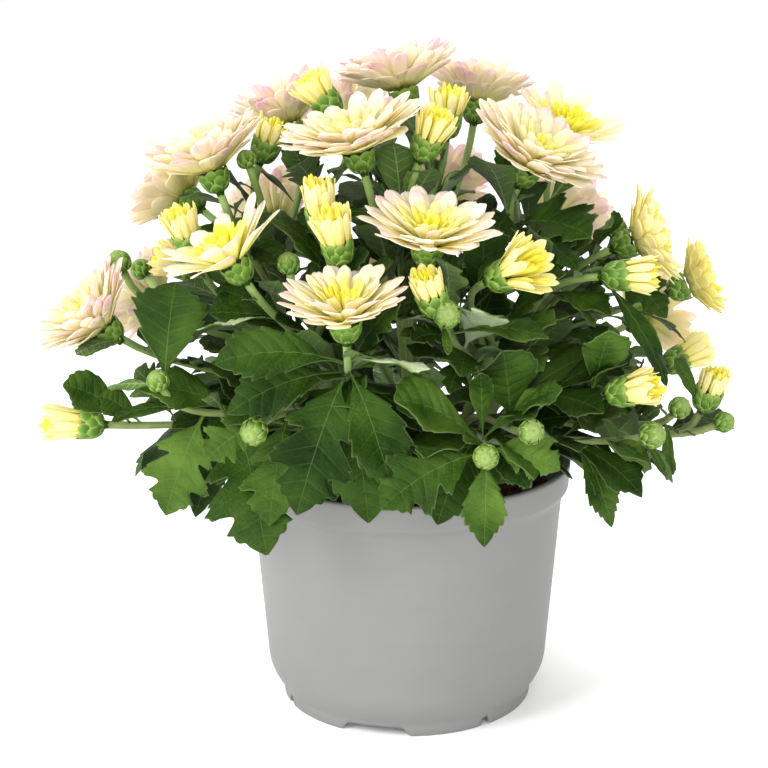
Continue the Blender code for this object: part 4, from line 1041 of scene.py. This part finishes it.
def addLeaf(bm, layers, leaf, draw):
    root, tip, facing, cut, width, small, tone = leaf
    at, length, half = leafShape(root, tip, facing, width)
    across, along = leafLook["small" if small else "big"]
    if tone is None:
        tone = min(leafLook["mostTone"], max(0.0, draw.gauss(*leafLook["tone"])))
    ripple, phase = draw.uniform(*leafLook["ripple"]) * length, draw.uniform(0, 6)
    curl = draw.uniform(*leafLook["curl"])
    unlike = (draw.uniform(*leafLook["unlike"]), draw.uniform(*leafLook["unlike"]))
    first, last = leafLook["quilted"]
    shares = {}
    for vert in bmesh.ops.create_grid(bm, x_segments=across, y_segments=along, size=1.0)["verts"]:
        side, t = vert.co.x, (vert.co.y + 1) / 2
        row = round(t * along)
        if row not in shares:
            shares[row] = smoothShare(outlines[cut], t), veinCount(cut, t)
        share, count = shares[row][0] * unlike[side > 0], shares[row][1]
        wide = abs(side) * share
        middle, sideways, normal = at(min(1.0, t + leafLook["forward"] * wide * (1 - t) ** 0.5))
        said = {"along": t, "across": side, "tone": tone, "rib": side * share * half, "veinCount": count,
                "spacing": leafLook["spacing"] * length}
        for layer in leafLayers:
            vert[layers[layer]] = said[layer]
        wave = math.sin(leafLook["waves"] * t + phase + 2 * side)
        bulge = leafLook["quilt"] * length * abs(math.sin(math.pi * count))
        rise = blade["fold"] * wide * half + ripple * wide * wave
        rise += bulge * (1 - abs(side)) * (first < t < last)
        rise -= curl * length * (t - 0.5) ** 2 * (t > 0.5)
        rise -= leafLook["droop"] * half * wide * wide * max(0.0, curl * 4)
        vert.co = middle + sideways * side * share * half + normal * rise


def buildLeaves(name):
    bm, layers = newSheet(leafLayers)
    draw = random.Random(leafLook["seed"] + len(name))
    for leaf in leaves[name]:
        addLeaf(bm, layers, leaf, draw)
    finishPiece(bm, "leaves_" + name, [leafUpper, leafUnder], ["leafy_stem_" + name],
                leafLook["thickness"])


for name in stems:
    buildLeaves(name)

print("calyxes and buds")
calyx = {
    # (radius, height) about the seat, in mm
    "bowl": ((0.0, -7.6), (1.4, -7.5), (1.6, -6.6), (2.1, -5.7), (3.6, -4.7), (4.9, -3.1), (5.5, -1.2),
             (5.7, 0.6), (5.5, 1.6), (4.8, 1.8), (3.0, 0.9), (0.0, 0.5)),
    "bowlSteps": 18,
    # bracts in a row, and the (radius, height) of root, middle and tip
    "rows": ((8, (2.2, -6.0), (4.6, -5.0), (5.4, -1.9)), (8, (3.9, -4.7), (5.8, -2.8), (5.75, 0.6)),
             (9, (5.2, -2.4), (5.95, 0.2), (5.9, 2.3))),
    "cupRows": ((8, (2.2, -6.0), (4.6, -5.0), (5.5, -1.8)), (8, (3.9, -4.7), (5.95, -2.6), (5.85, 1.2)),
                (9, (5.2, -2.4), (6.1, 1.0), (5.9, 4.2))),
    "width": 2.5,  # half of a bract
    "unevenTurn": 0.12,
    "lift": (-0.06, 0.1),
    "unevenHeight": 0.3,
    "seed": 8,
}
# the same for a bud, over its radius
budLook = {
    "ball": ((0.0, -0.1), (0.45, 0.0), (0.78, 0.35), (0.93, 0.85), (0.88, 1.25), (0.66, 1.56), (0.36, 1.72),
             (0.0, 1.78)),
    "ballShrink": (0.88, 0.97),
    "ballSteps": 16,
    "rows": ((7, (0.3, -0.08), (1.04, 0.0), (1.0, 0.7)), (7, (0.6, 0.1), (1.14, 0.5), (0.96, 1.1)),
             (8, (0.85, 0.4), (1.18, 1.05), (0.62, 1.52))),
    "width": 0.33,
    "folds": (11, (0.82, 1.0), (0.72, 1.62), (0.1, 1.76)),  # its own petals, still folded
    "foldWidth": 0.17,
    "foldYouth": 0.55,
    "unevenTurn": 0.1,
}
bractLook = {"grid": (3, 4), "widest": 0.46, "reach": 0.56, "bow": 0.24, "thickness": 0.15}


def arcPoint(arc, t):
    # on a curve from root to tip that the bend draws outwards
    root, bend, tip = arc
    return [a * (1 - t) ** 2 + 2 * b * t * (1 - t) + c * t * t for a, b, c in zip(root, bend, tip)]


def addBract(bm, layers, seat, turn, angle, arc, width, tone, young=0.0):
    # a narrow blunt scale that lies along an arc of (radius, height)
    across, along = bractLook["grid"]
    for vert in bmesh.ops.create_grid(bm, x_segments=across, y_segments=along, size=1.0)["verts"]:
        side, t = vert.co.x, (vert.co.y + 1) / 2
        radius, height = arcPoint(arc, t)
        half = width * math.sqrt(1 - ((t - bractLook["widest"]) / bractLook["reach"]) ** 2)
        vert[layers["along"]], vert[layers["across"]] = t, side
        vert[layers["tone"]], vert[layers["youth"]] = tone, young
        # the outer side faces away from the axis
        at = Vector((radius - bractLook["bow"] * side * side * half, side * half, height))
        vert.co = seat + turn @ (Matrix.Rotation(angle, 3, "Z") @ at)


def addBowl(bm, layers, outline, seat, turn, steps, young=0.0):
    part = turned(outline, steps)
    bmesh.ops.transform(part, matrix=Matrix.Translation(seat) @ turn.to_4x4(), verts=part.verts)
    before = len(bm.verts)
    addPart(bm, part, "bowl")
    bm.verts.ensure_lookup_table()
    for vert in bm.verts[before:]:
        vert[layers["youth"]] = young


def buildCalyxes(name):
    bowls, bowlLayers = newSheet()
    bm, layers = newSheet()
    draw = random.Random(calyx["seed"] + len(name))
    heads = [(head, "rows") for head in openHeads] + [(head, "cupRows") for head in openingHeads]
    for head, rows in heads:
        if head[1] != name:
            continue
        seat, turn = Vector(head[2]), turnTo(headTilts.get(head[0], head[3]))
        addBowl(bowls, bowlLayers, calyx["bowl"], seat, turn, calyx["bowlSteps"])
        off, high = calyx["unevenTurn"], calyx["unevenHeight"]
        for number, (count, *arc) in enumerate(calyx[rows]):
            for k in range(count):
                angle = 2 * math.pi * (k + 0.5 * number + draw.uniform(-off, off)) / count
                lift = draw.uniform(*calyx["lift"])
                bent = [(r + lift * j * 0.5, h + draw.uniform(-high, high) * j)
                        for j, (r, h) in enumerate(arc)]
                addBract(bm, layers, seat, turn, angle, bent, calyx["width"], draw.random())
    for stem, middle, axis, radius in buds:
        if stem != name:
            continue
        turn = turnTo(axis)
        foot = Vector(middle) - Vector(axis).normalized() * radius
        slim, short = budLook["ballShrink"]
        ball = [(r * radius * slim, h * radius * short) for r, h in budLook["ball"]]
        addBowl(bowls, bowlLayers, ball, foot, turn, budLook["ballSteps"], 1.0)
        off = budLook["unevenTurn"]
        for number, (count, *arc) in enumerate((*budLook["rows"], budLook["folds"])):
            isFold = number == len(budLook["rows"])
            wide, young = (budLook["foldWidth"], budLook["foldYouth"]) if isFold else (budLook["width"], 0.0)
            bent = [(r * radius, h * radius) for r, h in arc]
            for k in range(count):
                angle = 2 * math.pi * (k + 0.5 * number + draw.uniform(-off, off)) / count
                addBract(bm, layers, foot, turn, angle, bent, wide * radius, draw.random(), young)
    finishPiece(bowls, "calyxBowls_" + name, [bractSkin], ["leafy_stem_" + name])
    finishPiece(bm, "calyxes_" + name, [bractSkin], ["leafy_stem_" + name], bractLook["thickness"])


for name in stems:
    buildCalyxes(name)

print("flowers")
petalLook = {
    "grid": (4, 8),  # squares across and along
    "innerGrid": (2, 5),
    "rowPower": 1.45,  # over 1, rows are closer together towards the tip
    "thickness": 0.25,
    "claw": 0.4,  # width at the root, over the widest
    "widest": 0.72,
    "round": (0.78, 0.22),  # where the tip's rounding starts, and over how much of the length
    "roundness": 0.9,
    "arched": (0.7, 0.3),
    "arch": 0.03,  # how far the middle of the tip stands ahead of its sides
    "notches": (0.0, 0.0, 0.025),  # one petal in three has one
    "notchFrom": 0.99,
    "twist": 0.15,
    "cup": 0.22,
    "cupSpread": (0.4, 1.5),
    "cupFade": (1.1, 0.5),  # at the root, and less towards the tip
    "curl": (-0.05, 0.07),
    "sway": 0.05,
    "flute": 0.05,
    "widthSpread": (0.88, 1.12),
    "layerTurn": 0.38,  # of a petal's spacing, from one layer to the next
}
flower = {
    # each layer: petals, root (radius, height) in mm, tip (radius, height over the ring) and width, both over
    # the flower's radius, and yellowness; the last layer of a full or open flower backs the others
    "full": (
        (17, (5.5, 2.9), (1.0, 0.36), 0.25, 0.0),
        (16, (5.2, 3.2), (0.97, 0.43), 0.25, 0.0),
        (15, (4.8, 3.6), (0.9, 0.49), 0.24, 0.0),
        (13, (4.3, 4.0), (0.8, 0.52), 0.24, 0.0),
        (12, (3.7, 4.4), (0.67, 0.53), 0.19, 0.05),
        (10, (3.1, 4.7), (0.52, 0.51), 0.16, 0.15),
        (9, (2.4, 5.0), (0.38, 0.48), 0.13, 0.35),
        (8, (1.7, 5.2), (0.25, 0.45), 0.11, 0.6),
        (5, (0.8, 5.4), (0.12, 0.42), 0.09, 0.8),
        (12, (5.2, 2.6), (0.76, 0.2), 0.34, 0.1),
    ),
    "open": (
        (16, (5.5, 2.9), (1.0, 0.34), 0.26, 0.0),
        (15, (5.1, 3.3), (0.95, 0.42), 0.26, 0.0),
        (12, (4.6, 3.8), (0.84, 0.46), 0.24, 0.0),
        (10, (3.9, 4.3), (0.62, 0.44), 0.19, 0.15),
        (10, (3.3, 4.6), (0.49, 0.43), 0.15, 0.45),
        (10, (2.6, 4.9), (0.38, 0.42), 0.12, 0.7),
        (9, (1.8, 5.2), (0.26, 0.4), 0.1, 0.9),
        (6, (0.8, 5.4), (0.12, 0.38), 0.08, 1.0),
        (12, (5.2, 2.6), (0.76, 0.18), 0.34, 0.1),
    ),
    "star": (
        (10, (5.4, 3.0), (1.0, 0.4), 0.3, 0.0),
        (8, (4.9, 3.6), (0.9, 0.58), 0.28, 0.05),
        (9, (4.0, 4.4), (0.55, 0.46), 0.2, 0.5),
        (9, (3.0, 4.8), (0.42, 0.48), 0.15, 0.85),
        (9, (2.2, 5.0), (0.29, 0.47), 0.12, 1.0),
        (7, (1.4, 5.2), (0.17, 0.44), 0.11, 1.0),
        (4, (0.6, 5.4), (0.06, 0.42), 0.1, 1.0),
    ),
    "ring": 2.9,  # height of the outer petals' roots
    # how each flower differs: its kind, its reach, how deep its funnel is, how yellow and how flushed it is
    "usual": ("full", 1.0, 1.15, 0.03, 0.05),
    "unlike": {
        "bloom_middle": ("open", 1.03, 0.95, 0.0, 0.0),
        "bloom_front": ("open", 1.03, 1.15, 0.03, 0.0),
        "bloom_top_front": ("full", 1.05, 0.92, 0.05, 0.0),
        "bloom_upper_right": ("full", 1.05, 0.95, 0.03, 0.0),
        "bloom_upper_left": ("full", 1.0, 1.2, 0.03, 0.1),
        "bloom_crown": ("full", 1.0, 1.0, 0.0, 0.2),
        "bloom_crown_left": ("full", 1.03, 1.35, 0.0, 0.15),
        "bloom_crown_right": ("full", 1.0, 1.15, 0.05, 0.15),
        "bloom_front_left": ("star", 1.0, 1.0, 0.0, 0.1),
        "bloom_right_shoulder": ("star", 0.98, 1.05, 0.05, 0.1),
        "bloom_far_left": ("full", 0.98, 1.3, 0.0, 0.25),
        "bloom_left_shoulder": ("full", 1.05, 1.1, 0.1, 0.0),
        "bloom_right": ("open", 1.04, 1.3, 0.35, 0.0),
        "bloom_far_right": ("open", 1.06, 1.3, 0.5, 0.0),
        "bloom_back": ("open", 1.0, 1.0, 0.0, 0.2),
        "bloom_low_right": ("open", 1.0, 1.2, 0.2, 0.0),
    },
    "outerLayers": 2,
    "outerReach": (0.92, 1.03),
    "innerReach": (0.8, 1.1),
    "rise": (0.84, 1.14),
    "bendOut": 0.46,
    "bendUp": (0.48, 0.64),
    "turnSpread": 0.3,
    "fineLayers": 4,
    "seed": 40,
}
opening = {
    # each layer of a half-open flower: petals, root, tip (over its spread and its length), width over its
    # length, and yellowness
    "layers": (
        (10, (4.7, 1.8), (1.0, 0.92), 0.23, 0.38),
        (9, (4.1, 2.0), (0.88, 1.0), 0.2, 0.5),
        (8, (3.2, 2.2), (0.62, 1.0), 0.15, 0.8),
        (7, (2.2, 2.4), (0.42, 1.02), 0.13, 1.0),
        (5, (1.0, 2.6), (0.18, 0.97), 0.12, 1.0),
    ),
    "reach": (0.85, 1.12),
    "rise": (0.82, 1.06),
    "belly": (0.45, 0.62),  # shares of the tip's and the root's radius
    "bendUp": 0.5,
    "turnSpread": 0.2,
    "fineLayers": 2,
    "seed": 60,
}


def addPetal(bm, layers, seat, turn, angle, arc, width, youth, squares, draw, flush=0.0):
    # a strap-shaped petal with a round tip, from its root in the calyx along an arc of (radius, height)
    span = arc[2][0] - arc[0][0]
    twist, tone = draw.uniform(-petalLook["twist"], petalLook["twist"]), draw.uniform(flush, 1.0)
    cup = petalLook["cup"] * draw.uniform(*petalLook["cupSpread"])
    notch = draw.choice(petalLook["notches"])
    curl = draw.uniform(*petalLook["curl"]) * span
    sway = draw.uniform(-petalLook["sway"], petalLook["sway"]) * span
    cupMost, cupLess = petalLook["cupFade"]
    roundStart, roundSpan = petalLook["round"]
    archStart, archSpan = petalLook["arched"]
    outward = Matrix.Rotation(angle, 3, "Z")
    for vert in bmesh.ops.create_grid(bm, x_segments=squares[0], y_segments=squares[1], size=1.0)["verts"]:
        side, t = vert.co.x, 1 - (0.5 - vert.co.y / 2) ** petalLook["rowPower"]
        vert[layers["along"]], vert[layers["across"]] = t, side
        vert[layers["tone"]], vert[layers["youth"]] = tone, youth
        swell = math.sin(math.pi / 2 * min(1.0, t / petalLook["widest"]))
        half = width / 2 * (petalLook["claw"] + (1 - petalLook["claw"]) * swell)
        if t > roundStart:
            half *= math.sqrt(1 - petalLook["roundness"] * ((t - roundStart) / roundSpan) ** 2)
        reach = t - petalLook["arch"] * side * side * max(0.0, (t - archStart) / archSpan)
        if t > petalLook["notchFrom"]:
            reach -= notch * (1 - math.cos(2 * math.pi * side)) / 2
        radius, height = arcPoint(arc, reach)
        out, high = [(b - a) * (1 - reach) + (c - b) * reach for a, b, c in zip(*arc)]
        slope = Vector((out, 0, high)).normalized()
        normal = Vector((-slope.z, 0, slope.x))
        lift = cup * half * side * side * (cupMost - cupLess * t) + twist * side * half * t
        lift += petalLook["flute"] * half * math.cos(3 * math.pi * side) + curl * max(0.0, t - 0.5) ** 2 * 4
        # the grid's x runs against the turn, so that the upper side faces the axis
        at = Vector((radius, -side * half + sway * t * t, height)) + normal * lift
        vert.co = seat + turn @ (outward @ at)


def petalTurn(number, k, count, spread, draw):
    # evenly spaced petals, each a little off, and each layer turned against the last
    return 2 * math.pi * (k + petalLook["layerTurn"] * number + draw.uniform(-spread, spread)) / count


def buildFlower(head):
    node, _, seat, axis, radius = head
    kind, size, depth, warm, flush = flower["unlike"].get(node, flower["usual"])
    radius *= size
    bm, layers = newSheet()
    draw = random.Random(flower["seed"] + len(node) * 7 + int(radius))
    turn, seat = turnTo(headTilts.get(node, axis)), Vector(seat)
    for number, (count, root, reach, width, youth) in enumerate(flower[kind]):
        lengths = flower["outerReach" if number < flower["outerLayers"] else "innerReach"]
        squares = petalLook["grid" if number < flower["fineLayers"] else "innerGrid"]
        for k in range(count):
            angle = petalTurn(number, k, count, flower["turnSpread"], draw)
            out = reach[0] * radius * draw.uniform(*lengths)
            high = flower["ring"] + reach[1] * depth * radius * draw.uniform(*flower["rise"])
            bend = (root[0] + (out - root[0]) * flower["bendOut"],
                    root[1] + (high - root[1]) * draw.uniform(*flower["bendUp"]))
            wide = width * radius * draw.uniform(*petalLook["widthSpread"])
            addPetal(bm, layers, seat, turn, angle, (root, bend, (out, high)), wide, min(1.0, youth + warm),
                     squares, draw, flush)
    finishPiece(bm, node + "_petals", [petalUpper, petalUnder], [node], petalLook["thickness"])


def buildOpening(head):
    node, _, seat, axis, length, spread = head
    bm, layers = newSheet()
    draw = random.Random(opening["seed"] + len(node) * 5 + length)
    turn, seat = turnTo(axis), Vector(seat)
    for number, (count, root, reach, width, youth) in enumerate(opening["layers"]):
        squares = petalLook["grid" if number < opening["fineLayers"] else "innerGrid"]
        belly = opening["belly"][0] * spread * reach[0] + opening["belly"][1] * root[0]
        for k in range(count):
            angle = petalTurn(number, k, count, opening["turnSpread"], draw)
            out = reach[0] * spread * draw.uniform(*opening["reach"])
            high = reach[1] * length * draw.uniform(*opening["rise"])
            bend = (belly, root[1] + (high - root[1]) * opening["bendUp"])
            wide = width * length * draw.uniform(*petalLook["widthSpread"])
            addPetal(bm, layers, seat, turn, angle, (root, bend, (out, high)), wide, youth, squares, draw)
    finishPiece(bm, node + "_petals", [petalUpper, petalUnder], [node], petalLook["thickness"])


for head in openHeads:
    buildFlower(head)
for head in openingHeads:
    buildOpening(head)

print("floor, lights and camera")
studio = {
    "floor": 80.0,  # metres across
    "world": 1.0,
    # place, aim, size in metres, and watts
    "lights": (
        ((-1.3, -0.9, 1.0), (0, 0, 0.12), 0.9, 28.0),
        ((0.1, -1.6, 0.45), (0, 0, 0.18), 1.2, 20.0),
        ((0.2, 1.0, 1.4), (0, 0, 0.15), 0.8, 12.0),
    ),
    "down": 14.8,  # degrees
    "sensor": 36.0,
    "picture": 768,  # pixels across
    "focal": 1828,  # pixels
    "shift": -23,  # pixels
    "nearest": 0.01,  # metres from which the camera sees
}

scene = bpy.context.scene
bm = bmesh.new()
bmesh.ops.create_grid(bm, x_segments=1, y_segments=1, size=studio["floor"] / 2)
floorMesh = bpy.data.meshes.new("floor")
bm.to_mesh(floorMesh)
bm.free()
floorMesh.materials.append(floorPaint)
floor = bpy.data.objects.new("floor", floorMesh)
scene.collection.objects.link(floor)

world = bpy.data.worlds.new("studio")
world.use_nodes = True
sky = world.node_tree.nodes["Background"]
setInputs(world.node_tree, sky, {"Color": (1, 1, 1, 1), "Strength": studio["world"]})
scene.world = world
scene.view_settings.view_transform = "Standard"

for number, (spot, aim, size, watts) in enumerate(studio["lights"]):
    lamp = bpy.data.lights.new("softbox%d" % number, "AREA")
    lamp.size, lamp.energy = size, watts
    lampObject = bpy.data.objects.new("softbox%d" % number, lamp)
    lampObject.location = spot
    lampObject.rotation_euler = (Vector(spot) - Vector(aim)).to_track_quat("Z", "Y").to_euler()
    scene.collection.objects.link(lampObject)

lens = bpy.data.cameras.new("camera")
lens.sensor_width = studio["sensor"]
lens.lens = studio["sensor"] * (studio["focal"] / studio["picture"])
lens.shift_x = studio["shift"] / studio["picture"]
lens.clip_start = studio["nearest"]
camera = bpy.data.objects.new("camera", lens)
camera.location = cameraSpot * mm
camera.rotation_euler = (math.radians(90 - studio["down"]), 0, 0)
scene.collection.objects.link(camera)
scene.camera = camera
